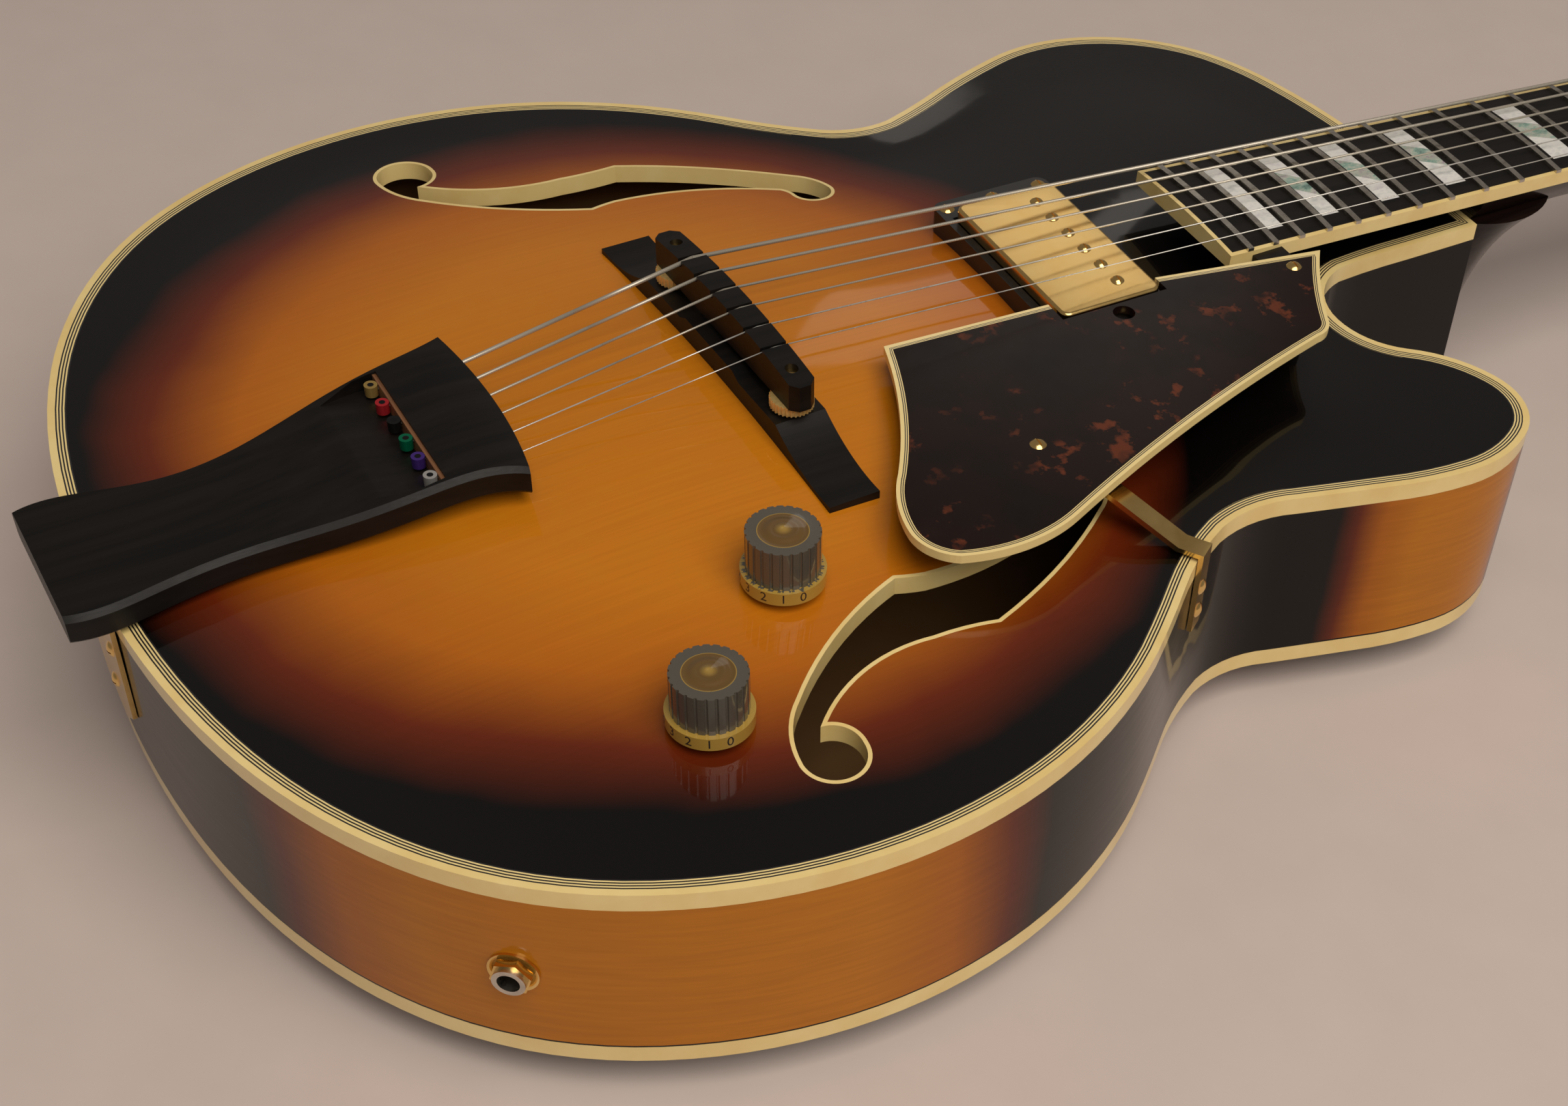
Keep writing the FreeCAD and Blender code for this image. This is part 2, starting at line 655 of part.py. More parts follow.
fret_pairs = [fret_solid(number) for number in range(1, FRET_COUNT + 1)]
pearl, shell = [], []
for number in BLOCK_FRETS + (PLAIN_BLOCK_FRET,):
    ends, middle = block_inlay(number)
    pearl += ends
    shell += middle
board = board_solid(mm.board_binding)
strip = board_solid(0).cut(board)
board = board.cut([tang for crown, tang in fret_pairs]).cut(pearl + shell)
piece("fretboard", from_neck(board))
piece("fretboard_binding", from_neck(strip))
frets = [crown.fuse(tang).removeSplitter() for crown, tang in fret_pairs]
piece("frets", from_neck(Part.makeCompound(frets)))
piece("inlays_pearl", from_neck(Part.makeCompound(pearl)))
piece("inlays_abalone", from_neck(Part.makeCompound(shell)))


# Strings: six straight runs each, held at the tailpiece, the saddle, the nut and a tuner post

STRING_COUNT = 6
STRING_POWER = 1.05


def string_share(index):
    """From -0.5 for the lowest string to 0.5 for the highest."""
    return index / (STRING_COUNT - 1) - 0.5


def string_radius(index):
    ratio = mm.string_treble / mm.string_bass
    return mm.string_bass * ratio ** ((index / (STRING_COUNT - 1)) ** STRING_POWER)


def post_place(index):
    """Tuner post of a string on the headstock: three on each side, the middle strings at the tip."""
    row = index if index < STRING_COUNT / 2 else STRING_COUNT - 1 - index
    side = -1 if index < STRING_COUNT / 2 else 1
    return side, side * (mm.post_x + row * mm.post_splay), mm.post_first + row * mm.post_pitch


def bridge_spot(x, y, z):
    """A spot on the bridge, which is turned a little on the top."""
    return Rotation(UP, mm.bridge_skew).multVec(Vector(x, y, z))


def saddle_sag(x):
    """How far the saddle's rounded top lies below its middle."""
    return x ** 2 / (2 * mm.board_radius)


def string_stops(index):
    """The spots that a string runs through: ball end, front of the tailpiece, saddle, nut, post."""
    share = string_share(index)
    radius = string_radius(index)
    tail_x = share * mm.tail_spread
    exit_z = mm.tail_front_top - mm.string_exit
    saddle_x = share * mm.saddle_spread
    side, post_x, post_y = post_place(index)
    beside = post_x - side * (mm.post_radius + radius + mm.clear_gap)
    return [Vector(tail_x, -mm.slot_y - mm.slot_length / 2, exit_z),
            Vector(tail_x, -mm.tail_front, exit_z),
            bridge_spot(saddle_x, 0, mm.saddle_height - saddle_sag(saddle_x)),
            neck_spot(share * mm.nut_spread, mm.scale_length, mm.nut_gap),
            neck_spot(share * mm.nut_spread, mm.scale_length + mm.nut_length, mm.nut_gap),
            head_spot(beside, post_y, mm.string_lift)]


def string_solid(index, room=0):
    """A string as straight runs between rings, with room round it; a ring at a bend halves its angle."""
    stops = string_stops(index)
    radius = string_radius(index) + room
    runs = [(end - start).normalize() for start, end in zip(stops, stops[1:])]
    facings = [runs[0]] + [before + after for before, after in zip(runs, runs[1:])] + [runs[-1]]
    rings = [Part.Wire(Part.makeCircle(radius, stop, facing)) for stop, facing in zip(stops, facings)]
    return Part.makeLoft(rings, True, True)


string_solids = [string_solid(index) for index in range(STRING_COUNT)]
piece("strings", Part.makeCompound(string_solids))


# Nut

nut_half = mm.nut_width / 2
nut_top = mm.nut_gap + mm.string_bass
nut = box(Vector(-nut_half, mm.scale_length, -mm.board_thickness),
          Vector(nut_half, mm.scale_length + mm.nut_length, nut_top))
nut = from_neck(nut)
for index in range(STRING_COUNT):
    radius = string_radius(index)
    x = string_share(index) * mm.nut_spread
    slot = box(Vector(x - radius, mm.scale_length - mm.nut_length, mm.nut_gap - radius),
               Vector(x + radius, mm.scale_length + 2 * mm.nut_length, nut_top + mm.overrun))
    nut = nut.cut(from_neck(slot))
piece("nut", nut)


# Headstock pieces: face veneer, tuners, truss rod and its cover

HEAD_SIDE_SHARES = ((0.61, 0.06), (0.84, 0.17), (0.90, 0.45), (0.94, 0.72), (1.0, 0.93))
HEAD_CROWN_SHARE = 1.0


def head_plan(low, high):
    """The headstock's outline between two heights."""
    half = mm.head_width / 2
    side = [Vector(mm.nut_width / 2, 0, low)]
    side += [Vector(across * half, along * mm.head_length, low) for across, along in HEAD_SIDE_SHARES]
    right = curve_through(side).toShape()
    left = right.mirror(Vector(0, 0, 0), Vector(1, 0, 0))
    tip, mirror_tip = side[-1], Vector(-side[-1].x, side[-1].y, low)
    crown = arc(tip, Vector(0, HEAD_CROWN_SHARE * mm.head_length, low), mirror_tip)
    foot = Part.makeLine(Vector(-side[0].x, 0, low), side[0])
    return Part.Face(Part.Wire(Part.__sortEdges__([foot, right, crown, left]))).extrude(UP * (high - low))


post_holes = Part.makeCompound([
    Part.makeCylinder(mm.bushing_radius, mm.head_thickness + mm.overrun,
                      Vector(post_place(index)[1], post_place(index)[2], -mm.head_thickness))
    for index in range(STRING_COUNT)])
rod_pocket = box(Vector(-mm.rod_radius * 2, 0, -mm.head_thickness / 2),
                 Vector(mm.rod_radius * 2, mm.cover_length * 2 / 3, mm.overrun))
overlay = head_plan(0, mm.overlay_thickness).cut(post_holes).cut(rod_pocket)

cover_half = mm.cover_width / 2
cover_end = mm.cover_setback + mm.cover_length
cover_base = mm.overlay_thickness
near_left, near_right = (Vector(x, mm.cover_setback, cover_base) for x in (-cover_half, cover_half))
far_left, far_right = (Vector(x, cover_end - cover_half, cover_base) for x in (-cover_half, cover_half))
cover_plan = Part.Wire([Part.makeLine(near_left, near_right), Part.makeLine(near_right, far_right),
                        arc(far_right, Vector(0, cover_end, cover_base), far_left),
                        Part.makeLine(far_left, near_left)])
rod_cover = from_head(Part.Face(cover_plan).extrude(UP * mm.cover_thickness))
head_up = head_spot(0, 0, 1) - head_spot(0, 0, 0)
screw_margin = mm.screw_head_radius * SCREW_MARGIN_SHARE
cover_face = cover_base + mm.cover_thickness
screw_x, screw_y = cover_half - screw_margin, mm.cover_setback + screw_margin
screw_places = ((0, cover_end - screw_margin), (-screw_x, screw_y), (screw_x, screw_y))
cover_screws = Part.makeCompound([fasten(head_spot(x, y, cover_face), head_up) for x, y in screw_places])
piece("truss_rod_cover", rod_cover.cut(cover_screws))
piece("headstock_overlay", from_head(overlay).cut(cover_screws))

rod_depth = mm.board_thickness + mm.rod_radius * 2
rod_low, rod_high = NECK_Y + mm.rod_setback, mm.scale_length + mm.cover_length / 2
truss_rod = Part.makeCylinder(mm.rod_radius, rod_high - rod_low, Vector(0, rod_low, -rod_depth), ALONG)
truss_rod = from_neck(truss_rod)
piece("truss_rod", truss_rod)

housings = []
for index in range(STRING_COUNT):
    side, x, y = post_place(index)
    low = -mm.head_thickness - mm.housing_height
    worm_z = -mm.head_thickness - mm.housing_height / 2
    worm_y = y + mm.worm_offset
    half_can = Vector(mm.housing_width / 2, mm.housing_length / 2, 0)
    can_middle = Vector(x, y + mm.worm_offset / 2, 0)
    can = rounded_box(can_middle - half_can + UP * low, can_middle + half_can - UP * mm.head_thickness,
                      mm.worm_radius)
    back_face = Vector(x, y, -mm.head_thickness)
    sleeve = Part.makeCylinder(mm.bushing_radius, mm.head_thickness + mm.overlay_thickness, back_face)
    front_face = Vector(x, y, mm.overlay_thickness)
    flange = Part.makeCylinder(mm.bushing_flange, mm.bushing_flange_height, front_face)
    bore_floor = low + mm.worm_radius
    bore = Part.makeCylinder(mm.post_radius + mm.running_gap, mm.overrun * 2, Vector(x, y, bore_floor))
    worm_start = x - side * mm.housing_width / 4
    worm_hole = Part.makeCylinder(mm.worm_radius + mm.running_gap, mm.overrun,
                                  Vector(worm_start, worm_y, worm_z), ACROSS * side)
    housings.append(from_head(can.fuse([sleeve, flange]).removeSplitter().cut(bore).cut(worm_hole)))
    post_foot = bore_floor + mm.running_gap
    post_top = mm.overlay_thickness + mm.post_height
    post = Part.makeCylinder(mm.post_radius, post_top - post_foot, Vector(x, y, post_foot))
    eye_start = Vector(x, y - mm.post_radius * 2, mm.string_lift)
    eye = Part.makeCylinder(mm.post_hole, mm.post_radius * 4, eye_start, ALONG)
    piece("tuner_post_%d" % (STRING_COUNT - index), from_head(post.cut(eye)))
    button_start = side * (mm.head_width / 2 + mm.button_gap)
    stem_start = worm_start + side * mm.running_gap
    stem = Part.makeCylinder(mm.worm_radius, abs(button_start - stem_start) + mm.button_length / 2,
                             Vector(stem_start, worm_y, worm_z), ACROSS * side)
    grip_ring = Part.Ellipse(Vector(0, 0, 0), mm.button_height / 2, mm.button_width / 2).toShape()
    grip = Part.Face(Part.Wire(grip_ring)).extrude(UP * mm.button_length)
    grip = stand(grip, Vector(button_start, worm_y, worm_z), ACROSS * side)
    piece("tuner_button_%d" % (STRING_COUNT - index), from_head(stem.fuse(grip).removeSplitter()))
piece("tuner_housings", Part.makeCompound(housings))


# Neck: shaft, heel, dovetail, tongue under the board and headstock in one piece of wood

def neck_section(y, depth):
    """Rounded back of the neck at a distance from the saddle line."""
    half, face = board_width(y) / 2, -mm.board_thickness
    left, right = Vector(-half, y, face), Vector(half, y, face)
    return Part.Wire([Part.makeLine(left, right), arc(right, Vector(0, y, face - depth), left)])


HEEL_SHARES = ((0.0, 1.0, 1.0), (0.22, 0.75, 0.5), (0.55, 0.35, 0.2), (1.0, 0.0, 0.0))


def heel_section(depth_share, width_share, length_share):
    """Outline of the heel at a depth: flat against the body, round outside."""
    z = -depth_share * (mm.rim_depth - mm.plate_thickness)
    half = (mm.heel_foot_width + (mm.heel_width - mm.heel_foot_width) * width_share) / 2
    length = mm.heel_foot_length + (mm.heel_length - mm.heel_foot_length) * length_share
    left, right = Vector(-half, NECK_Y, z), Vector(half, NECK_Y, z)
    return Part.Wire([Part.makeLine(left, right), arc(right, Vector(0, NECK_Y + length, z), left)])


shaft = Part.makeLoft([neck_section(NECK_Y, mm.neck_depth_heel),
                       neck_section(mm.scale_length, mm.neck_depth_nut),
                       neck_section(mm.scale_length + mm.nut_length, mm.neck_depth_nut)], True, True)
heel = Part.makeLoft([heel_section(*shares) for shares in HEEL_SHARES], True)
tongue_half, tongue_start = mm.tongue_width / 2, mm.board_start + mm.tongue_setback
tongue = box(Vector(-tongue_half, tongue_start, -mm.board_thickness - mm.tongue_depth),
             Vector(tongue_half, NECK_Y + mm.heel_length / 2, -mm.board_thickness))
tenon_top, tenon_foot = -mm.plate_thickness - mm.recurve_depth, -mm.rim_depth + 2 * mm.plate_thickness
tenon_near, tenon_far = mm.tenon_width / 2, mm.tenon_width / 2 + mm.tenon_flare
tenon_end = NECK_Y - mm.tenon_length
tenon = polygon([Vector(-tenon_near, NECK_Y, tenon_foot), Vector(tenon_near, NECK_Y, tenon_foot),
                 Vector(tenon_far, tenon_end, tenon_foot), Vector(-tenon_far, tenon_end, tenon_foot)])
tenon = tenon.extrude(UP * (tenon_top - tenon_foot))
head = head_plan(-mm.head_thickness, 0).cut(post_holes).cut(rod_pocket)
shaft = from_neck(shaft)
body_side = box(Vector(-mm.lower_bout, -mm.body_length, -mm.rim_depth * 2),
                Vector(mm.lower_bout, NECK_Y, mm.rim_depth * 2))
neck = shaft.cut(body_side).fuse([heel, tenon, from_neck(tongue), from_head(head)]).removeSplitter()
nut_seat = box(Vector(-mm.head_width, mm.scale_length, -mm.board_thickness),
               Vector(mm.head_width, mm.scale_length + mm.nut_length, mm.overrun))
neck = neck.cut(truss_rod).cut(cover_screws).cut(from_neck(board_solid(0))).cut(from_neck(nut_seat))


# Bridge: base on the top, two posts, two thumbwheels, saddle beam

BASE_SCOOP_SHARE = 0.35
deck = mm.top_arch + mm.base_height
half_base, half_flat, half_hump = mm.base_length / 2, mm.base_flat / 2, mm.base_hump / 2
toe = top_at(half_base, 0) + mm.base_toe
scoop_x = half_flat + (half_base - half_flat) * BASE_SCOOP_SHARE
scoop_z = toe + (deck - toe) * BASE_SCOOP_SHARE
hump = deck + mm.base_hump_rise
foot = -mm.plate_thickness
right = [Vector(half_base, 0, toe), Vector(scoop_x, 0, scoop_z), Vector(half_flat, 0, deck),
         Vector(half_hump + mm.base_hump_rise * 2, 0, deck), Vector(half_hump, 0, hump)]
left = [Vector(-spot.x, 0, spot.z) for spot in reversed(right)]
edges = [Part.makeLine(Vector(-half_base, 0, foot), Vector(half_base, 0, foot)),
         Part.makeLine(Vector(half_base, 0, foot), right[0]), arc(right[0], right[1], right[2]),
         Part.makeLine(right[2], right[3]), Part.makeLine(right[3], right[4]),
         Part.makeLine(right[4], left[0]), Part.makeLine(left[0], left[1]),
         Part.makeLine(left[1], left[2]), arc(left[2], left[3], left[4]),
         Part.makeLine(left[4], Vector(-half_base, 0, foot))]
base = Part.Face(Part.Wire(edges))
base.translate(Vector(0, -mm.base_width / 2, 0))
base = base.extrude(Vector(0, mm.base_width, 0))
base.rotate(Vector(0, 0, 0), UP, mm.bridge_skew)
base = base.cut(BELOW_TOP)

post_spots = [bridge_spot(side * mm.bridge_post_spread / 2, 0, 0) for side in (-1, 1)]
saddle_end = mm.saddle_height - mm.saddle_drop
wheel_low = deck + mm.wheel_lift
saddle_low = wheel_low + mm.wheel_thickness
post_top = saddle_end - mm.notch_depth
bridge_posts = [Part.makeCylinder(mm.bridge_post_radius, post_top - deck + mm.bridge_post_sink,
                                  spot + UP * (deck - mm.bridge_post_sink)) for spot in post_spots]
piece("bridge_base", base.cut(Part.makeCompound(bridge_posts)))
piece("bridge_posts", Part.makeCompound(bridge_posts))

half_beam, half_wide, facet = mm.saddle_length / 2, mm.saddle_width / 2, mm.saddle_chamfer
end_facet = [(half_beam, -half_wide + facet), (half_beam, half_wide - facet), (half_beam - facet, half_wide)]
beam_plan = end_facet + [(facet - half_beam, half_wide)]
beam_plan += [(-x, -y) for x, y in beam_plan]
beam_top = mm.saddle_height + mm.notch_depth
beam = polygon([Vector(x, y, saddle_low) for x, y in beam_plan]).extrude(UP * (beam_top - saddle_low))
crown_radius = mm.board_radius + mm.notch_depth
crown_start = Vector(0, -mm.saddle_width, beam_top - crown_radius)
beam = beam.common(Part.makeCylinder(crown_radius, mm.saddle_width * 2, crown_start, ALONG))
beam.rotate(Vector(0, 0, 0), UP, mm.bridge_skew)
for spot in post_spots:
    beam = beam.cut(Part.makeCylinder(mm.bridge_post_radius + mm.running_gap, mm.overrun, spot + UP * deck))
for index in range(STRING_COUNT):
    radius = string_radius(index) + mm.clear_gap
    stop = string_stops(index)[2]
    notch = box(Vector(stop.x - radius, stop.y - mm.saddle_width, stop.z - radius),
                Vector(stop.x + radius, stop.y + mm.saddle_width, stop.z + mm.overrun))
    beam = beam.cut([notch, string_solid(index, mm.clear_gap)])
piece("bridge_saddle", beam)


# Tailpiece: a carved block whose cross-section is a bevelled oblong, hinged at the tail

TAIL_STATION_SHARES = (0.0, 0.14, 0.31, 0.50, 0.77, 1.0)
TAIL_WIDTH_SHARES = (0.23, 0.24, 0.0, 0.12, 0.50, 1.0)
TAIL_TOP_SHARES = (0.0, 0.02, 0.06, 0.28, 0.88, 1.0)
tail_end = mm.tail_reach + mm.tail_overhang
tail_run = tail_end - mm.tail_front + mm.tail_bow


def bevelled_section(y, half, low, high, bevel):
    """An oblong with bevelled corners across the tailpiece."""
    corners = [(bevel - half, low), (half - bevel, low), (half, low + bevel), (half, high - bevel),
               (half - bevel, high), (bevel - half, high), (-half, high - bevel), (-half, low + bevel)]
    spots = [Vector(x, y, z) for x, z in corners]
    return Part.makePolygon(spots + spots[:1])


def tail_section(station, width_share, top_share):
    y = -tail_end + station * tail_run
    width = mm.tail_waist_width + (mm.tail_front_width - mm.tail_waist_width) * width_share
    top = mm.tail_end_top + (mm.tail_front_top - mm.tail_end_top) * top_share
    thickness = mm.tail_end_thickness + (mm.tail_front_thickness - mm.tail_end_thickness) * station
    return bevelled_section(y, width / 2, top - thickness, top, mm.tail_bevel)


stations = zip(TAIL_STATION_SHARES, TAIL_WIDTH_SHARES, TAIL_TOP_SHARES)
tail = Part.makeLoft([tail_section(*shares) for shares in stations], True)
half_front = mm.tail_front_width / 2
bow_radius = (half_front ** 2 + mm.tail_bow ** 2) / (2 * mm.tail_bow)
bow_middle = Vector(0, -mm.tail_front + mm.tail_bow - bow_radius, -mm.plate_thickness)
tail = tail.common(Part.makeCylinder(bow_radius, mm.rim_depth, bow_middle))
slot_floor = mm.tail_front_top - mm.slot_depth
slot_back = -mm.slot_y - mm.slot_length


def slot_section(y, half, floor):
    """Cross-section of the cut for the ball ends, open upwards."""
    roof = mm.tail_front_top + mm.overrun
    corners = [(-half, floor), (half, floor), (half, roof), (-half, roof), (-half, floor)]
    return Part.makePolygon([Vector(x, y, z) for x, z in corners])


ramp_end = slot_section(slot_back - mm.ramp_length, mm.ramp_width / 2, slot_floor + mm.slot_depth / 2)
slot_ends = [slot_section(y, mm.slot_width / 2, slot_floor) for y in (-mm.slot_y, slot_back)]
tail = tail.cut(Part.makeLoft(slot_ends + [ramp_end], True, True))
strip_low = Vector(-mm.slot_width / 2, -mm.slot_y - mm.strip_thickness, slot_floor)
wall_strip = box(strip_low, strip_low + Vector(mm.slot_width, mm.strip_thickness, mm.strip_height))
exit_z = mm.tail_front_top - mm.string_exit
string_xs = [string_share(index) * mm.tail_spread for index in range(STRING_COUNT)]
string_holes = Part.makeCompound([
    Part.makeCylinder(mm.string_hole, mm.slot_y, Vector(x, slot_back, exit_z), ALONG) for x in string_xs])
piece("tailpiece_strip", wall_strip.cut(string_holes))
balls = []
for index, x in enumerate(string_xs):
    spot = Vector(x, -mm.slot_y - mm.strip_thickness - mm.ball_radius, exit_z)
    ball = Part.makeCylinder(mm.ball_radius, mm.ball_length, spot - UP * mm.ball_length / 2)
    way_start = spot - ALONG * mm.ball_radius / 2
    string_way = Part.makeCylinder(string_radius(index) + mm.clear_gap, mm.slot_y, way_start, ALONG)
    balls.append(ball.cut(string_way))
piece("ball_ends", Part.makeCompound(balls))


# Tail hinge: a leaf let into the tailpiece and a plate down the rim, knuckle by knuckle on one pin

KNUCKLES = 5
hinge_y = mm.tail_reach + mm.hinge_out
tail_floor = mm.tail_end_top - mm.tail_end_thickness
leaf_top = tail_floor + mm.leaf_thickness
hinge_z = tail_floor - mm.hinge_radius - mm.clear_gap
web_z = hinge_z - mm.hinge_radius
knuckle_width = mm.hinge_width / KNUCKLES
pin_start = Vector(-mm.hinge_width / 2, -hinge_y, hinge_z)
pin_way = Part.makeCylinder(mm.hinge_pin_radius, mm.hinge_width, pin_start, ACROSS)
loose_way = Part.makeCylinder(mm.hinge_pin_radius + mm.running_gap, mm.hinge_width, pin_start, ACROSS)
leaf_back, leaf_front = -hinge_y - mm.hinge_pin_radius, -hinge_y + mm.leaf_length
leaf_half = mm.hinge_width / 2
leaf = box(Vector(-leaf_half, leaf_back, tail_floor), Vector(leaf_half, leaf_front, leaf_top))
leaf_room = box(Vector(-leaf_half, leaf_back, tail_floor - mm.overrun),
                Vector(leaf_half, leaf_front, leaf_top))
leaf_parts, plate_parts = [], []
for order in range(KNUCKLES):
    start = -mm.hinge_width / 2 + order * knuckle_width + mm.running_gap
    wide = knuckle_width - 2 * mm.running_gap
    barrel = Part.makeCylinder(mm.hinge_radius, wide, Vector(start, -hinge_y, hinge_z), ACROSS)
    if order % 2 == 1:
        web = box(Vector(start, -hinge_y - mm.hinge_pin_radius, hinge_z),
                  Vector(start + wide, -hinge_y + mm.hinge_pin_radius, leaf_top))
        leaf_parts += [barrel, web]
    else:
        web = box(Vector(start, -hinge_y, web_z),
                  Vector(start + wide, -mm.tail_reach, web_z + mm.leaf_thickness))
        plate_parts += [barrel, web]
leaf_hinge = leaf.fuse(leaf_parts).removeSplitter().cut(loose_way)
plate_out = -mm.tail_reach - mm.leaf_thickness
plate_top = web_z + mm.leaf_thickness
plate_low = plate_top - mm.plate_length
plate_half, plate_foot = mm.plate_width / 2, mm.plate_foot_width / 2
plate_bend = plate_low + mm.plate_point
plate_corners = [(-plate_half, plate_top), (plate_half, plate_top), (plate_foot, plate_bend), (0, plate_low),
                 (-plate_foot, plate_bend)]
tail_plate = polygon([Vector(x, plate_out, z) for x, z in plate_corners])
tail_plate = tail_plate.extrude(ALONG * mm.leaf_thickness).fuse(plate_parts).removeSplitter().cut(pin_way)
PLATE_SCREW_SHARES = ((0, 0.70), (-0.27, 0.30), (0.27, 0.30))
tail_screws = Part.makeCompound([
    fasten(Vector(across * mm.plate_width, plate_out, plate_top - down * mm.plate_length), -ALONG)
    for across, down in PLATE_SCREW_SHARES])
piece("tailpiece", tail.cut(leaf_room).cut(string_holes))
piece("hinge_leaf", leaf_hinge)
piece("tail_plate", Part.makeCompound([tail_plate.cut(tail_screws), pin_way]))


# Pickup: cover, core with its base plate, pole screws, ring, and the screws that hold it in the ring

def pickup_spots(half_x, half_y, low, high):
    """Opposite corners of a box about the pickup's middle."""
    return Vector(-half_x, mm.pickup_y - half_y, low), Vector(half_x, mm.pickup_y + half_y, high)


half_x, half_y = mm.cover_x / 2, mm.cover_y / 2
cover_low = mm.cover_top - mm.cover_height
cover_shell = rounded_box(*pickup_spots(half_x, half_y, cover_low, mm.cover_top), mm.cover_round)
top_edges = [edge for edge in cover_shell.Edges if edge.BoundBox.ZMin > mm.cover_top - mm.cover_wall]
cover_shell = cover_shell.makeFillet(mm.cover_edge, top_edges)
inner_x, inner_y = half_x - mm.cover_wall, half_y - mm.cover_wall
cover_roof = mm.cover_top - mm.cover_wall
inner_round = mm.cover_round - mm.cover_wall
cover_room = rounded_box(*pickup_spots(inner_x, inner_y, cover_low - mm.overrun, cover_roof), inner_round)
pole_screw = domed_screw(mm.pole_head_radius, mm.pole_head_height, mm.pole_radius, mm.pole_length)
pole_row = mm.pickup_y + mm.pole_y
pole_xs = [string_share(index) * mm.pole_spread for index in range(STRING_COUNT)]
poles = Part.makeCompound([stand(pole_screw, Vector(x, pole_row, mm.cover_top)) for x in pole_xs])
ear = mm.ring_screw_x + mm.screw_head_radius
ear_half = screw_margin
base_plate = box(*pickup_spots(inner_x, inner_y, cover_low - mm.base_plate, cover_low))
ears = box(*pickup_spots(ear, ear_half, cover_low - mm.base_plate, cover_low))
bobbin_x, bobbin_y = inner_x - mm.coil_gap, inner_y - mm.coil_gap
bobbin_top = cover_roof - mm.coil_gap
bobbin_low = bobbin_top - mm.coil_height
bobbins = [rounded_box(Vector(-bobbin_x, mm.pickup_y + low, bobbin_low),
                       Vector(bobbin_x, mm.pickup_y + high, bobbin_top), inner_round)
           for low, high in ((-bobbin_y, -mm.coil_gap), (mm.coil_gap, bobbin_y))]
magnet = box(*pickup_spots(bobbin_x, bobbin_y / 2, cover_low, bobbin_low))
height_run = mm.ring_top - cover_low + mm.base_plate
height_screw = domed_screw(mm.screw_head_radius, mm.screw_head_height, mm.screw_radius, height_run)
height_screws = [stand(height_screw, Vector(x, mm.pickup_y, mm.ring_top))
                 for x in (-mm.ring_screw_x, mm.ring_screw_x)]
screws += height_screws
ring_screws = [fasten(Vector(side * mm.ring_screw_x, mm.pickup_y + end * mm.ring_screw_y, mm.ring_top))
               for side in (-1, 1) for end in (-1, 1)]
ring_screws = Part.makeCompound(ring_screws + height_screws)
pickup_core = base_plate.fuse([ears, magnet] + bobbins).removeSplitter().cut(poles).cut(ring_screws)
window_x, window_y = half_x + mm.clear_gap, half_y + mm.clear_gap
pickup_window = box(*pickup_spots(window_x, window_y, -mm.overrun, mm.overrun))
ear_window = box(*pickup_spots(ear + mm.clear_gap, ear_half + mm.clear_gap,
                               -mm.overrun, cover_low + mm.clear_gap))
ring_block = pickup_spots(mm.ring_x / 2, mm.ring_y / 2, -mm.plate_thickness, mm.ring_top)
pickup_ring = rounded_box(*ring_block, mm.ring_round)
pickup_ring = pickup_ring.cut(BELOW_TOP).cut(pickup_window).cut(ring_screws).cut(ear_window)
piece("pickup_cover", cover_shell.cut(cover_room).cut(poles))
piece("pickup_core", pickup_core)
piece("pickup_ring", pickup_ring)
screws += poles.Solids


# Pickguard: bound sheet that floats beside the strings, on a block at the neck and a bracket at the rim

GUARD_START_SHARES = (0.0, 0.1876)
GUARD_EDGE_SHARES = (
    (None, (0.047, 0.689)), (None, (0.150, 1.0)), ((0.275, 0.953), (0.486, 0.8907)),
    ((0.530, 0.872), (0.544, 0.850)), ((0.7885, 0.452), (0.952, 0.2508)), ((1.0, 0.1326), (0.967, 0.042)),
    ((0.899, 0.009), (0.809, 0.0)), ((0.695, 0.014), (0.567, 0.051)), ((0.315, 0.126), (0.0, 0.1876)))
NECK_SCREW_SHARES = (0.189, 0.93)
BRACKET_SCREW_SHARES = (0.627, 0.28)
guard_low = mm.guard_top - mm.guard_thickness


def guard_spot(pair, height):
    """A spot on the pickguard, given as shares of its width and length."""
    return Vector(mm.guard_x + pair[0] * mm.guard_width, mm.guard_y + pair[1] * mm.guard_length, height)


def guard_wire():
    """Outline of the pickguard's underside, from its corner beside the bridge."""
    guard_edges = []
    start = guard_spot(GUARD_START_SHARES, guard_low)
    for via, end in GUARD_EDGE_SHARES:
        stop = guard_spot(end, guard_low)
        if via is None:
            guard_edges.append(Part.makeLine(start, stop))
        else:
            guard_edges.append(arc(start, guard_spot(via, guard_low), stop))
        start = stop
    return Part.Wire(guard_edges)


guard_up = UP * mm.guard_thickness
guard_full = Part.Face(guard_wire()).extrude(guard_up)
guard_core = Part.Face(guard_wire().makeOffset2D(-mm.guard_edge, 2)).extrude(guard_up)
cover_notch = box(*pickup_spots(half_x + mm.guard_play, half_y + mm.guard_play,
                                guard_low - mm.overrun, mm.guard_top + mm.overrun))
notch_start = Vector(mm.ring_screw_x, mm.pickup_y, guard_low - mm.overrun)
screw_notch = Part.makeCylinder(mm.guard_notch, 2 * mm.overrun, notch_start)
neck_hold = guard_spot(NECK_SCREW_SHARES, mm.guard_top)
bracket_hold = guard_spot(BRACKET_SCREW_SHARES, mm.guard_top)
neck_screw = fasten(neck_hold)
rim_screw = fasten(bracket_hold)
guard_screws = Part.makeCompound([neck_screw, rim_screw])
piece("pickguard", guard_core.cut([cover_notch, screw_notch, guard_screws]))
piece("pickguard_binding", guard_full.cut([guard_core, cover_notch]))
block_half = mm.guard_block_width / 2
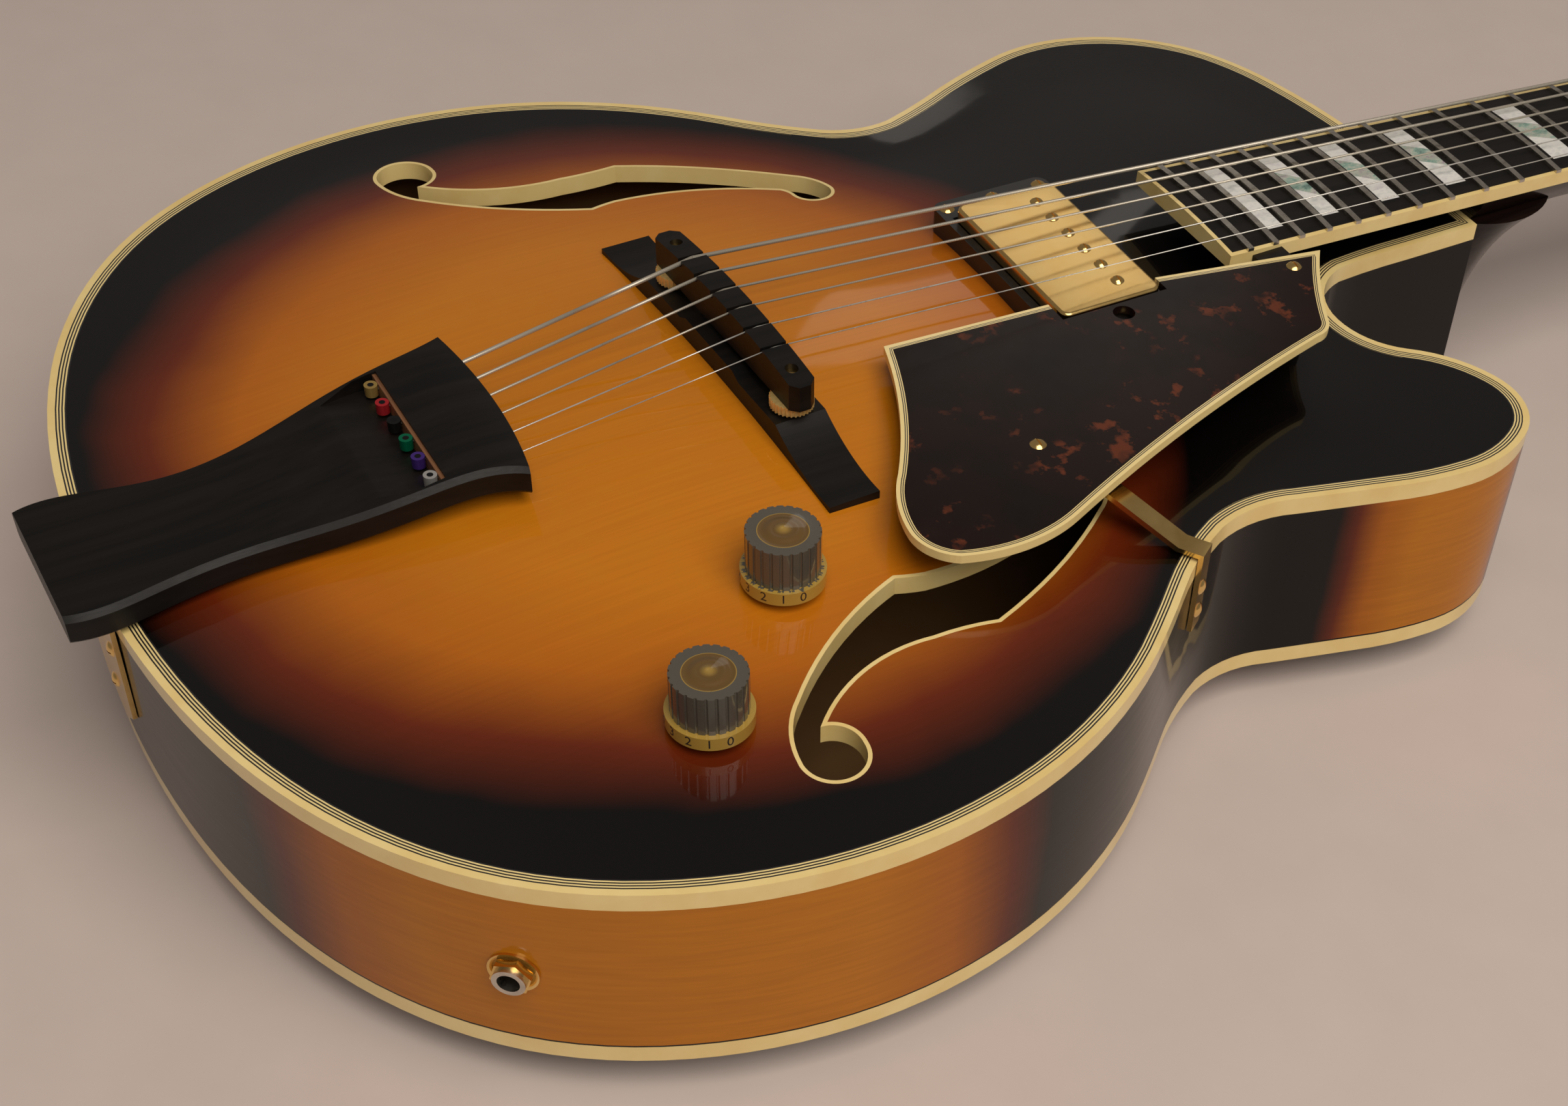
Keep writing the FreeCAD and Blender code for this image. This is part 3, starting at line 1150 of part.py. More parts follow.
guard_block = box(Vector(0, neck_hold.y - block_half, guard_low - mm.guard_block_height),
                  Vector(neck_hold.x + block_half, neck_hold.y + block_half, guard_low))
guard_block = guard_block.cut(from_neck(board_solid(0))).cut(neck).cut(neck_screw)
piece("guard_block", guard_block)

BRACKET_TURN = 36.0


def bracket_rim_spot():
    """Spot on the treble rim that lies in the bracket's direction from its guard screw."""
    def turn(spot):
        return math.degrees(math.atan2(spot.y - bracket_hold.y, spot.x - bracket_hold.x))
    below_horn = NECK_Y - mm.neck_block_length * 2
    treble = [spot for spot in RIM_SPOTS if spot.x > bracket_hold.x and spot.y < below_horn]
    return min(treble, key=lambda spot: abs(turn(spot) - BRACKET_TURN))


rim_spot = bracket_rim_spot()
bracket_run = Vector(rim_spot.x - bracket_hold.x, rim_spot.y - bracket_hold.y, 0)
level = guard_low - mm.bracket_thickness
bend = bracket_run.Length + mm.clear_gap
foot_bend = bracket_run.Length - mm.bracket_width
half_sheet = mm.bracket_thickness / 2
lower = [(-mm.bracket_overhang, level), (mm.bracket_flat, level), (foot_bend, mm.bracket_lift),
         (bend, mm.bracket_lift), (bend, -mm.bracket_leg)]
lifted = mm.bracket_lift + mm.bracket_thickness
outer = bend + mm.bracket_thickness
upper = [(-mm.bracket_overhang, guard_low), (mm.bracket_flat + half_sheet, guard_low),
         (foot_bend + half_sheet, lifted), (outer, lifted), (outer, -mm.bracket_leg)]
bracket = polygon([Vector(along, -mm.bracket_width / 2, height) for along, height in lower + upper[::-1]])
bracket = bracket.extrude(ALONG * mm.bracket_width)
bracket.rotate(Vector(0, 0, 0), UP, math.degrees(math.atan2(bracket_run.y, bracket_run.x)))
bracket.translate(Vector(bracket_hold.x, bracket_hold.y, 0))
outward = Vector(bracket_run).normalize()
LEG_SCREW_SHARES = (0.42, 0.76)
leg_face = rim_spot + outward * (mm.clear_gap + mm.bracket_thickness)
leg_screws = [fasten(leg_face - UP * mm.bracket_leg * down, outward) for down in LEG_SCREW_SHARES]
leg_screws = Part.makeCompound(leg_screws)
bracket = bracket.cut(body_prism(0, -mm.rim_depth, 0)).cut(guard_screws).cut(leg_screws)
piece("guard_bracket", bracket)


# Bodies drawn as sketches whose corners are named sizes

def worth(formula):
    return float(sheet.evalExpression(formula))


def sketch_outline(body, name, role, corners):
    """A closed outline on one of the body's planes; a corner is a pair of formulas in the sheet's names."""
    sketch = body.newObject("Sketcher::SketchObject", name)
    plane = [feature for feature in body.Origin.OriginFeatures if feature.Role == role][0]
    sketch.AttachmentSupport = [(plane, "")]
    sketch.MapMode = "FlatFace"
    spots = [Vector(worth(across), worth(up), 0) for across, up in corners]
    count = len(spots)
    for order in range(count):
        sketch.addGeometry(Part.LineSegment(spots[order], spots[(order + 1) % count]))
    for order in range(count):
        sketch.addConstraint(Sketcher.Constraint("Coincident", order, 2, (order + 1) % count, 1))
    for order, corner in enumerate(corners):
        for kind, axis, formula in zip(("DistanceX", "DistanceY"), (-2, -1), corner):
            if formula == "0":
                sketch.addConstraint(Sketcher.Constraint("PointOnObject", order, 1, axis))
                continue
            number = sketch.addConstraint(Sketcher.Constraint(kind, -1, 1, order, 1, worth(formula)))
            sketch.setExpression("Constraints[%d]" % number, formula)
    return sketch


def turned_body(name, corners):
    """A body turned about its own Z axis from a profile."""
    body = doc.addObject("PartDesign::Body", name)
    body.Label = name
    profile = sketch_outline(body, name + "_profile", "XZ_Plane", corners)
    turned = body.newObject("PartDesign::Revolution", name + "_turned")
    turned.Profile = profile
    turned.ReferenceAxis = (profile, ["V_Axis"])
    turned.Angle = 360
    profile.Visibility = False
    doc.recompute()
    return body


def fluted(body, name, radius, depth, low, count):
    """Cuts a ring of grooves into a turned body, from a height upwards."""
    before = body.Shape.Volume
    sketch = body.newObject("Sketcher::SketchObject", name + "_groove")
    plane = [feature for feature in body.Origin.OriginFeatures if feature.Role == "XY_Plane"][0]
    sketch.AttachmentSupport = [(plane, "")]
    sketch.MapMode = "FlatFace"
    sketch.setExpression("AttachmentOffset.Base.z", low)
    sketch.addGeometry(Part.Circle(Vector(worth(radius), 0, 0), UP, worth(depth)))
    sketch.addConstraint(Sketcher.Constraint("PointOnObject", 0, 3, -1))
    place = sketch.addConstraint(Sketcher.Constraint("DistanceX", -1, 1, 0, 3, worth(radius)))
    sketch.setExpression("Constraints[%d]" % place, radius)
    size = sketch.addConstraint(Sketcher.Constraint("Radius", 0, worth(depth)))
    sketch.setExpression("Constraints[%d]" % size, depth)
    groove = body.newObject("PartDesign::Pocket", name + "_cut")
    groove.Profile = sketch
    groove.Type = "ThroughAll"
    groove.Reversed = True
    doc.recompute()
    pattern = body.newObject("PartDesign::PolarPattern", name + "_round")
    pattern.Originals = [groove]
    pattern.Axis = (sketch, ["N_Axis"])
    pattern.Angle = 360
    pattern.Occurrences = count
    body.Tip = pattern
    doc.recompute()
    if not body.Shape.Volume < before:
        raise RuntimeError(name + ": the grooves cut nothing")


WHEEL_GROOVES = 32
for name, spot in zip(("thumbwheel_bass", "thumbwheel_treble"), post_spots):
    bore = "Sizes.bridge_post_radius + Sizes.running_gap"
    edge, top = "Sizes.wheel_radius", "Sizes.wheel_thickness"
    wheel = turned_body(name, [(bore, "0"), (edge, "0"), (edge, top), (bore, top)])
    fluted(wheel, name, edge, "Sizes.wheel_knurl", "0", WHEEL_GROOVES)
    seat(wheel, str(spot.x), str(spot.y), str(wheel_low))
    PIECES.append(wheel)


# Controls: two knobs pressed on the shafts of two potentiometers under the top

KNOB_FLUTES = 24
pots, pot_ways = [], []
for name in ("volume", "tone"):
    x, y = getattr(mm, name + "_x"), getattr(mm, name + "_y")
    surface = top_at(x, y)
    skirt, grip, bore = "Sizes.knob_skirt_radius", "Sizes.knob_grip_radius", "Sizes.shaft_radius"
    step, rim, roof = "Sizes.knob_skirt_height", "Sizes.knob_height", "Sizes.knob_bore_depth"
    knob = turned_body(name + "_knob", [
        (bore, "0"), (skirt, "0"), (skirt, step), (grip, step), (grip, rim), ("Sizes.knob_dome_radius", rim),
        ("0", rim + " + Sizes.knob_dome_rise"), ("0", roof), (bore, roof)])
    fluted(knob, name + "_knob", grip, "Sizes.knob_flute", step, KNOB_FLUTES)
    seat(knob, "Sizes.%s_x" % name, "Sizes.%s_y" % name, str(surface + mm.knob_lift))
    PIECES.append(knob)
    can_top = surface - mm.plate_thickness - mm.pot_drop
    can = Part.makeCylinder(mm.pot_radius, mm.pot_height, Vector(x, y, can_top - mm.pot_height))
    bushing = Part.makeCylinder(mm.pot_bushing, surface + mm.knob_lift / 2 - can_top, Vector(x, y, can_top))
    shaft_foot = can_top - mm.pot_height / 2
    shaft_way = Part.makeCylinder(mm.shaft_radius + mm.running_gap, mm.overrun, Vector(x, y, shaft_foot))
    pots.append(can.fuse(bushing).removeSplitter().cut(shaft_way))
    pot_ways.append(bushing)
    rod = doc.addObject("Part::Cylinder", name + "_shaft")
    rod.Label = name + "_shaft"
    rod.setExpression("Radius", "Sizes.shaft_radius")
    rod.setExpression("Height", "Sizes.knob_lift + Sizes.knob_bore_depth + Sizes.plate_thickness"
                                " + Sizes.pot_drop + Sizes.pot_height / 2 - Sizes.running_gap")
    seat(rod, "Sizes.%s_x" % name, "Sizes.%s_y" % name, str(shaft_foot + mm.running_gap))
    PIECES.append(rod)
piece("pots", Part.makeCompound(pots))


# Output jack in the treble rim

def jack_frame():
    """Spot on the treble lower bout beside the jack's place, and the way out of the body there."""
    treble = [pair for pair in edge_frames() if pair[0].x > 0]
    spot, inward = min(treble, key=lambda pair: abs(pair[0].y - mm.jack_y))
    return spot - UP * mm.rim_depth / 2, inward * -1


HEX_CORNERS = 6
jack_spot, jack_out = jack_frame()
collar = mm.rim_thickness * 2
can_end = mm.jack_reach - mm.jack_length
jack_bushing = Part.makeCylinder(mm.jack_radius, mm.jack_reach + collar, UP * -collar)
jack_can = Part.makeCylinder(mm.jack_can_radius, -collar - can_end, UP * can_end)
jack_hole = Part.makeCylinder(mm.jack_bore, mm.jack_length, UP * (can_end + mm.rim_thickness))
jack = stand(jack_bushing.fuse(jack_can).removeSplitter().cut(jack_hole), jack_spot, jack_out)
jack_way = stand(Part.makeCylinder(mm.jack_radius, mm.overrun, UP * -mm.overrun / 2), jack_spot, jack_out)
washer = Part.makeCylinder(mm.jack_washer_radius, mm.jack_washer)
corner = ACROSS * mm.jack_nut_width / 2 + UP * mm.jack_washer
hexagon = [Rotation(UP, 360 / HEX_CORNERS * turn).multVec(corner) for turn in range(HEX_CORNERS)]
hex_nut = polygon(hexagon).extrude(UP * mm.jack_nut)
jack_hardware = [stand(solid, jack_spot, jack_out).cut(jack_way) for solid in (washer, hex_nut)]
piece("jack_socket", jack)
piece("jack_nut", Part.makeCompound(jack_hardware))


# Body: blocks, rims, linings, tone bars, plates and the strips round their edges

rim_low, rim_high = -mm.rim_depth + mm.plate_thickness, -mm.plate_thickness
under_top = TOP.toShape()
under_top.translate(UP * -mm.plate_thickness)
under_top = under_top.extrude(UP * -mm.rim_depth)
over_back = BACK.toShape()
over_back.translate(UP * mm.plate_thickness)
over_back = over_back.extrude(UP * mm.rim_depth)
chamber = body_prism(mm.rim_thickness, -mm.rim_depth, mm.top_arch)


def block_between(low_x, high_x, low_y, high_y):
    """A block of wood inside the rim that fills the height between the two plates."""
    block = box(Vector(low_x, low_y, -mm.rim_depth), Vector(high_x, high_y, mm.top_arch))
    return block.common(chamber).common(under_top).common(over_back)


neck_block = block_between(-mm.neck_block_half, mm.neck_block_half, NECK_Y - mm.neck_block_length, NECK_Y)
half_tail = mm.tail_block_width / 2
tail_block_front = -mm.tail_reach + mm.rim_thickness + mm.tail_block_length
tail_block = block_between(-half_tail, half_tail, -mm.tail_reach, tail_block_front)
piece("neck_block", neck_block.cut(tenon))
piece("tail_block", tail_block.cut(tail_screws))

rims = body_ring(0, mm.rim_thickness, rim_low + mm.glue_line, rim_high)
rims = rims.cut([tenon, jack_way, tail_screws, leg_screws])
treble_half = box(Vector(0, -mm.body_length, -mm.rim_depth), Vector(mm.lower_bout, mm.body_length, 0))
piece("rims", Part.makeCompound([rims.cut(treble_half), rims.common(treble_half)]))
lining_in = mm.rim_thickness + mm.lining_width
linings = []
for low in (rim_low + mm.clear_gap, rim_high - mm.clear_gap - mm.lining_height):
    lining = body_ring(mm.rim_thickness, lining_in, low, low + mm.lining_height)
    linings += lining.cut([neck_block, tail_block, leg_screws]).Solids
piece("linings", Part.makeCompound(linings))

bars = []
for side in (-1, 1):
    middle = Vector(side * mm.bar_spread, mm.bar_middle, -mm.plate_thickness)
    half_bar = Vector(mm.bar_width / 2, mm.bar_length / 2, 0)
    bar = box(middle - half_bar - UP * mm.bar_height, middle + half_bar + UP * mm.top_arch)
    bars.append(under_top.common(bar))
piece("tone_bars", Part.makeCompound(bars))

edge_in = mm.binding_width
lines_in = mm.binding_width + mm.purfling_width
top_plate = arched_plate(TOP, lines_in, -mm.plate_thickness)
piece("top_plate", top_plate.cut(hole_cutters + pot_ways + [pickup_window, ear_window, ring_screws]))
piece("back_plate", arched_plate(BACK, edge_in, mm.plate_thickness))
piece("top_purfling", body_ring(edge_in, lines_in, rim_high, 0))
piece("top_binding", body_ring(0, edge_in, rim_high, 0))
piece("back_binding", body_ring(0, edge_in, -mm.rim_depth, rim_low))
piece("neck", neck)
piece("small_screws", Part.makeCompound(screws))


# Origin under the middle of the whole, checks, and one file for each piece

doc.recompute()
whole = Part.makeCompound([obj.Shape for obj in PIECES]).optimalBoundingBox(False, False)
shifts = (-(whole.XMin + whole.XMax) / 2, -(whole.YMin + whole.YMax) / 2, -whole.ZMin)
for axis, shift in zip("xyz", shifts):
    sheet.set("frame_" + axis, str(shift))
doc.recompute()

faulty = [obj.Label for obj in doc.Objects if "Invalid" in obj.State or "Error" in obj.State]
shapeless = [obj for obj in PIECES if obj.Shape.isNull() or not obj.Shape.isValid() or not obj.Shape.Solids]
faulty += [obj.Label for obj in shapeless]
if faulty:
    raise RuntimeError("did not build: " + ", ".join(faulty))

os.makedirs("parts", exist_ok=True)
for obj in PIECES:
    obj.Shape.exportStep(os.path.join("parts", obj.Label + ".step"))
    print(obj.Label, len(obj.Shape.Solids), round(obj.Shape.Volume))
lengths = [round(length, 1) for length in (whole.XLength, whole.YLength, whole.ZLength)]
print("pieces", len(PIECES), "size", *lengths)
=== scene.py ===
import json
import math

import bmesh
import bpy
from mathutils import Matrix, Vector
from mathutils.bvhtree import BVHTree
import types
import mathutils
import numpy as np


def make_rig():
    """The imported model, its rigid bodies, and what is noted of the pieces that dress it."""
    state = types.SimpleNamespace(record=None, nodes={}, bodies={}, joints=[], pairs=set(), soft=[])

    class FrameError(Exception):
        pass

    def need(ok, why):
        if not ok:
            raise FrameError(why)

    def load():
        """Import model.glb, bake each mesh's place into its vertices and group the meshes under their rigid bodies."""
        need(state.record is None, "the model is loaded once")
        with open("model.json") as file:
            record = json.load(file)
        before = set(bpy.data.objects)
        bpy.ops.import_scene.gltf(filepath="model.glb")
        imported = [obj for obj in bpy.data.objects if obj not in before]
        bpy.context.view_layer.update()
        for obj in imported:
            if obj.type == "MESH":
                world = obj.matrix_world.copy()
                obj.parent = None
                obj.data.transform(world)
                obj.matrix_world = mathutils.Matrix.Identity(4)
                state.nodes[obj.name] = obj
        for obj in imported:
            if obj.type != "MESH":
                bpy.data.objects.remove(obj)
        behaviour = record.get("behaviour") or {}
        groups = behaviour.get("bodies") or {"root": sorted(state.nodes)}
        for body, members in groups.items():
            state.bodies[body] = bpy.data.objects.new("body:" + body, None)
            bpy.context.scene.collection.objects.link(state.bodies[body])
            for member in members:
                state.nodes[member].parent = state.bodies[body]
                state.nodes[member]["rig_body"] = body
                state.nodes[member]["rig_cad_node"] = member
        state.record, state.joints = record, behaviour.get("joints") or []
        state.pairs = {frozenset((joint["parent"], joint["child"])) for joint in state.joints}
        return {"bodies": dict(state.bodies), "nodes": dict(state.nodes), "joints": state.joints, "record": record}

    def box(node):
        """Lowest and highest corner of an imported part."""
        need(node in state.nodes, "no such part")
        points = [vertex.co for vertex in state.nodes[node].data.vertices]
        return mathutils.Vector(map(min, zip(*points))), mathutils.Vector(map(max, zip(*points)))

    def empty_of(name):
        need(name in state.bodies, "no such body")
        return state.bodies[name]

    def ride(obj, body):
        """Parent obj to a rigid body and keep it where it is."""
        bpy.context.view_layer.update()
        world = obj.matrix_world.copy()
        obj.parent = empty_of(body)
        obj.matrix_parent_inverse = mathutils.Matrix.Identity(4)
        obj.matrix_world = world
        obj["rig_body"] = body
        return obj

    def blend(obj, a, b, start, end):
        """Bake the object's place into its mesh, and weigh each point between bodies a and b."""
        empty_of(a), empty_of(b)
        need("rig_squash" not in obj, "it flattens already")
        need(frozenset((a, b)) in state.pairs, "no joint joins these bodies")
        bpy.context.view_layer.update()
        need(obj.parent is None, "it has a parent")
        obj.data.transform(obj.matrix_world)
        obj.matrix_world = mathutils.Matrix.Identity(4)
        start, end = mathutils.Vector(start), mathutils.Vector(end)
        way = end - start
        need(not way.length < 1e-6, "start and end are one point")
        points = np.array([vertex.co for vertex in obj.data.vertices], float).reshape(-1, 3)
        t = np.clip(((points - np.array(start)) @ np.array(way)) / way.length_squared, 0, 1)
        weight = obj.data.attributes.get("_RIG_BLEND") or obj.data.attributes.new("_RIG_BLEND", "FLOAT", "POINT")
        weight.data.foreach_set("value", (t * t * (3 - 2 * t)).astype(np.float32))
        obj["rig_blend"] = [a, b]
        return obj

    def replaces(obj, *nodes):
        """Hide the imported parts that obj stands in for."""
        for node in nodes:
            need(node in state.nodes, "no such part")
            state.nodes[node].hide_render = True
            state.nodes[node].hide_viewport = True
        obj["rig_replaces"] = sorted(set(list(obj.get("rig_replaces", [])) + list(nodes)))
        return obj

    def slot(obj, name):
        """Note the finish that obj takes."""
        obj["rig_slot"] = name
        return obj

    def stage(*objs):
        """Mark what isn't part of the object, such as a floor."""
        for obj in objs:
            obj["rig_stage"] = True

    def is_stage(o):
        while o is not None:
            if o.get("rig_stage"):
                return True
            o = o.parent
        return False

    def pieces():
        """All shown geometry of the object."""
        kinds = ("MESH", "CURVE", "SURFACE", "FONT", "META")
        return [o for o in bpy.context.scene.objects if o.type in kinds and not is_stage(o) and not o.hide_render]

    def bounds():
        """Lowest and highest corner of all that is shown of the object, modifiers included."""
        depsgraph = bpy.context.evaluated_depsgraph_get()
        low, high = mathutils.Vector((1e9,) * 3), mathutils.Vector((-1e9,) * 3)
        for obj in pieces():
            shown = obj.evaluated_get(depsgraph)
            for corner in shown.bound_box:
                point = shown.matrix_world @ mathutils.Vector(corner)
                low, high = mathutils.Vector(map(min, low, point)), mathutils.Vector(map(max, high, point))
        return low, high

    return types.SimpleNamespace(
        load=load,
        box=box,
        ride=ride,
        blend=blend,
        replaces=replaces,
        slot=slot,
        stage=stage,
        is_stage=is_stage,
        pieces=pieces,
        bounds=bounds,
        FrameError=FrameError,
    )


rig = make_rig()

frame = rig.load()
cad_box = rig.bounds()
nodes = frame["nodes"]


# Top plate
# A carved plate of close-grained spruce, arched from a thin hollow edge, sprayed from amber to black and
# lacquered. It is glued on the rims and their linings. Patterns are placed from the saddle point above it.

MM = 0.001
WELD = 0.001 * MM
ACROSS, ALONG, UP = range(3)
TAIL_REACH = 199.5 * MM
edge_low, edge_high = (Vector(corner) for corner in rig.box("top_binding"))
SADDLE = Vector((0, edge_low.y + TAIL_REACH, edge_high.z))
AMBER = (0.58, 0.205, 0.008, 1)
HONEY = (0.47, 0.140, 0.006, 1)
RED_BROWN = (0.135, 0.020, 0.004, 1)
BURST_BLACK = (0.0022, 0.0016, 0.0014, 1)
BURST_COLOURS = (AMBER, HONEY, RED_BROWN, BURST_BLACK)
BURST_SHARES = (0.50, 0.71, 0.87, 0.99)
RAW_WOOD = (0.25, 0.135, 0.055, 1)
STAIN_SHARES = (0.3, 0.7)
CLOUD_SCALE = 14


class Tone:
    """One output of a shader node. Sums and products of tones become Math nodes; node() adds any other."""

    def __init__(self, tree, socket):
        self.tree = tree
        self.socket = socket

    def node(self, kind, settings=None, sockets=None, output=0):
        """Adds a node: its settings first, then the values or links of its sockets."""
        made = self.tree.nodes.new(kind)
        for name, value in (settings or {}).items():
            if name == "stops":
                ramp = made.color_ramp
                while len(ramp.elements) < len(value):
                    ramp.elements.new(0.5)
                for stop, (spot, colour) in zip(ramp.elements, value):
                    stop.position = spot
                    stop.color = colour
            elif name == "interpolation":
                made.color_ramp.interpolation = value
            else:
                setattr(made, name, value)
        for name, value in (sockets or {}).items():
            if isinstance(value, Tone):
                self.tree.links.new(value.socket, made.inputs[name])
            else:
                made.inputs[name].default_value = value
        return Tone(self.tree, made.outputs[output])

    def math(self, operation, first, second):
        return self.node("ShaderNodeMath", {"operation": operation}, {0: first, 1: second})

    def __add__(self, other):
        return self.math("ADD", self, other)

    def __radd__(self, other):
        return self.math("ADD", other, self)

    def __sub__(self, other):
        return self.math("SUBTRACT", self, other)

    def __rsub__(self, other):
        return self.math("SUBTRACT", other, self)

    def __mul__(self, other):
        return self.math("MULTIPLY", self, other)

    def __rmul__(self, other):
        return self.math("MULTIPLY", other, self)

    def __truediv__(self, other):
        return self.math("DIVIDE", self, other)

    def __mod__(self, other):
        return self.math("FLOORED_MODULO", self, other)

    def __pow__(self, other):
        return self.math("POWER", self, other)

    def __gt__(self, other):
        return self.math("GREATER_THAN", self, other)

    def __lt__(self, other):
        return self.math("LESS_THAN", self, other)

    def highest(self, other):
        return self.math("MAXIMUM", self, other)

    def lowest(self, other):
        return self.math("MINIMUM", self, other)

    def wave(self, pitch):
        """A wave between -1 and 1 that comes round again after a pitch."""
        return self.math("SINE", self * (2 * math.pi / pitch), 0.0)

    def axis(self, number):
        return self.node("ShaderNodeSeparateXYZ", {}, {0: self}, number)

    def from_spot(self, spot, stretch=(1, 1, 1)):
        """This place measured from a spot, in millimetres, and stretched."""
        moved = self.node("ShaderNodeVectorMath", {"operation": "SUBTRACT"}, {0: self, 1: tuple(spot)})
        scale = tuple(share / MM for share in stretch)
        return moved.node("ShaderNodeVectorMath", {"operation": "MULTIPLY"}, {0: moved, 1: scale})

    def noise(self, scale, detail=3, roughness=0.5):
        sockets = {"Vector": self, "Scale": scale, "Detail": detail, "Roughness": roughness}
        return self.node("ShaderNodeTexNoise", {}, sockets)

    def ramp(self, *stops, interpolation="LINEAR"):
        return self.node("ShaderNodeValToRGB", {"stops": stops, "interpolation": interpolation}, {0: self})

    def mix(self, first, second, blend="MIX"):
        """Mixes two colours by this tone. The node's colours are its sockets 6 and 7 and its output 2."""
        settings = {"data_type": "RGBA", "blend_type": blend}
        return self.node("ShaderNodeMix", settings, {0: self, 6: first, 7: second}, 2)

    def spread(self, low, high):
        """This tone, from nought to one, spread between two values."""
        return self * (high - low) + low


class Finish:
    """A procedural finish: a material, its shader's constant sockets and the place that patterns read."""

    def __init__(self, name, **constants):
        self.material = bpy.data.materials.new(name)
        self.material.use_nodes = True
        tree = self.material.node_tree
        self.shader = tree.nodes["Principled BSDF"]
        for word, value in constants.items():
            self.socket(word).default_value = value
        place = tree.nodes.new("ShaderNodeTexCoord")
        self.place = Tone(tree, place.outputs["Object"])
        self.guitar = self.place.from_spot(SADDLE)

    def socket(self, word):
        """The shader's socket that a word such as coat_weight stands for."""
        return self.shader.inputs[word.replace("_", " ").title().replace("Ior", "IOR")]

    def feed(self, **tones):
        """Links tones to the shader's sockets."""
        for word, tone in tones.items():
            tone.tree.links.new(tone.socket, self.socket(word))

    def grain(self, stretch, scale, detail=4, roughness=0.6):
        """A noise drawn out into streaks, which run along the axes whose stretch is small."""
        return self.place.from_spot(SADDLE, stretch).noise(scale, detail, roughness)

    def stain(self, pattern, colours, sheen):
        """Takes the surface from one colour and roughness to another by a pattern."""
        self.feed(base_color=pattern.ramp(*zip(STAIN_SHARES, colours)), roughness=pattern.spread(*sheen))

    def bump(self, height, strength, depth):
        """Raises the surface by a tone, to a depth in millimetres."""
        sockets = {"Height": height, "Strength": strength, "Distance": depth * MM}
        self.feed(normal=height.node("ShaderNodeBump", {}, sockets))

    def facing(self, axis):
        """How far the surface faces along an axis."""
        return self.place.node("ShaderNodeNewGeometry", {}, {}, "Normal").axis(axis)


def edge_softener():
    """Geometry nodes that weld a piece's loose facets and shade them smooth up to a crease angle."""
    tree = bpy.data.node_groups.new("soften edges", "GeometryNodeTree")
    tree.interface.new_socket("Geometry", in_out="INPUT", socket_type="NodeSocketGeometry")
    tree.interface.new_socket("Crease", in_out="INPUT", socket_type="NodeSocketFloat")
    tree.interface.new_socket("Geometry", in_out="OUTPUT", socket_type="NodeSocketGeometry")

    def add(kind, settings=None, sockets=None):
        made = tree.nodes.new(kind)
        for name, value in (settings or {}).items():
            setattr(made, name, value)
        for name, value in (sockets or {}).items():
            if isinstance(value, bpy.types.NodeSocket):
                tree.links.new(value, made.inputs[name])
            else:
                made.inputs[name].default_value = value
        return made

    start = add("NodeGroupInput")
    plain = add("GeometryNodeRemoveAttribute", {}, {0: start.outputs[0], "Name": "custom_normal"})
    welded = add("GeometryNodeMergeByDistance", {}, {0: plain.outputs[0], "Distance": WELD})
    smooth = add("GeometryNodeSetShadeSmooth", {"domain": "FACE"},
                 {0: welded.outputs[0], "Shade Smooth": True})
    angle = add("GeometryNodeInputMeshEdgeAngle")
    sharp = add("FunctionNodeCompare", {"data_type": "FLOAT", "operation": "GREATER_THAN"},
                {0: angle.outputs["Unsigned Angle"], 1: start.outputs["Crease"]})
    creased = add("GeometryNodeSetShadeSmooth", {"domain": "EDGE"},
                  {0: smooth.outputs[0], "Selection": sharp.outputs[0], "Shade Smooth": False})
    add("NodeGroupOutput", {}, {0: creased.outputs[0]})
    return tree


SOFTENER = edge_softener()
CREASE = math.radians(28)


def dress(finish, *names):
    """Gives CAD nodes a finish and soft shading across their curved faces."""
    for name in names:
        node = nodes[name]
        node.data.materials.clear()
        node.data.materials.append(finish.material)
        soft = node.modifiers.new("soften edges", "NODES")
        soft.node_group = SOFTENER
        soft[SOFTENER.interface.items_tree["Crease"].identifier] = CREASE


def distance(across, along, middle, reach=(1, 1)):
    """How far a spot lies from a middle, in millimetres or, with a reach, as a share of it each way."""
    across = (across - middle[0]) / reach[0]
    along = (along - middle[1]) / reach[1]
    return (across * across + along * along) ** 0.5


def sprayed(finish, spread, wander_share):
    """The lacquer's colour, from 0 in the middle of a burst to 1 where it is black, with a cloudy edge."""
    cloud = finish.place.noise(CLOUD_SCALE)
    return (spread + cloud.spread(-wander_share, wander_share)).ramp(*zip(BURST_SHARES, BURST_COLOURS))


def lacquer_outside(finish, colour, inside, wood, gloss_share):
    """Coats the outer faces with coloured lacquer and leaves the inner ones as bare wood."""
    finish.feed(base_color=inside.mix(colour, wood), coat_weight=(1 - inside) * gloss_share)


TOP_BURST_MIDDLE = (0, -30)
TOP_BURST_REACH = (172, 166)
PLATE_WANDER_SHARE = 0.05
FLAT_SHARE = 0.5
LACQUER = {"specular_ior_level": 0.05, "coat_roughness": 0.05}
GLOSS_SHARE = 0.72
top = Finish("spruce sunburst", **LACQUER)
spread = distance(top.guitar.axis(ACROSS), top.guitar.axis(ALONG), TOP_BURST_MIDDLE, TOP_BURST_REACH)
colour = sprayed(top, spread, PLATE_WANDER_SHARE)
grain = top.grain((1.0, 0.02, 0.02), 0.9)
mottle = top.place.noise(160, detail=4, roughness=0.6)
colour = grain.spread(0.0, 0.22).mix(colour, RED_BROWN, "MULTIPLY")
colour = mottle.spread(0.0, 0.16).mix(colour, AMBER, "OVERLAY")
inside = top.facing(UP) < -FLAT_SHARE
lacquer_outside(top, colour, inside, RAW_WOOD, GLOSS_SHARE)
top.feed(roughness=mottle.spread(0.26, 0.40))
top.bump(grain, strength=0.05, depth=0.2)
dress(top, "top_plate")


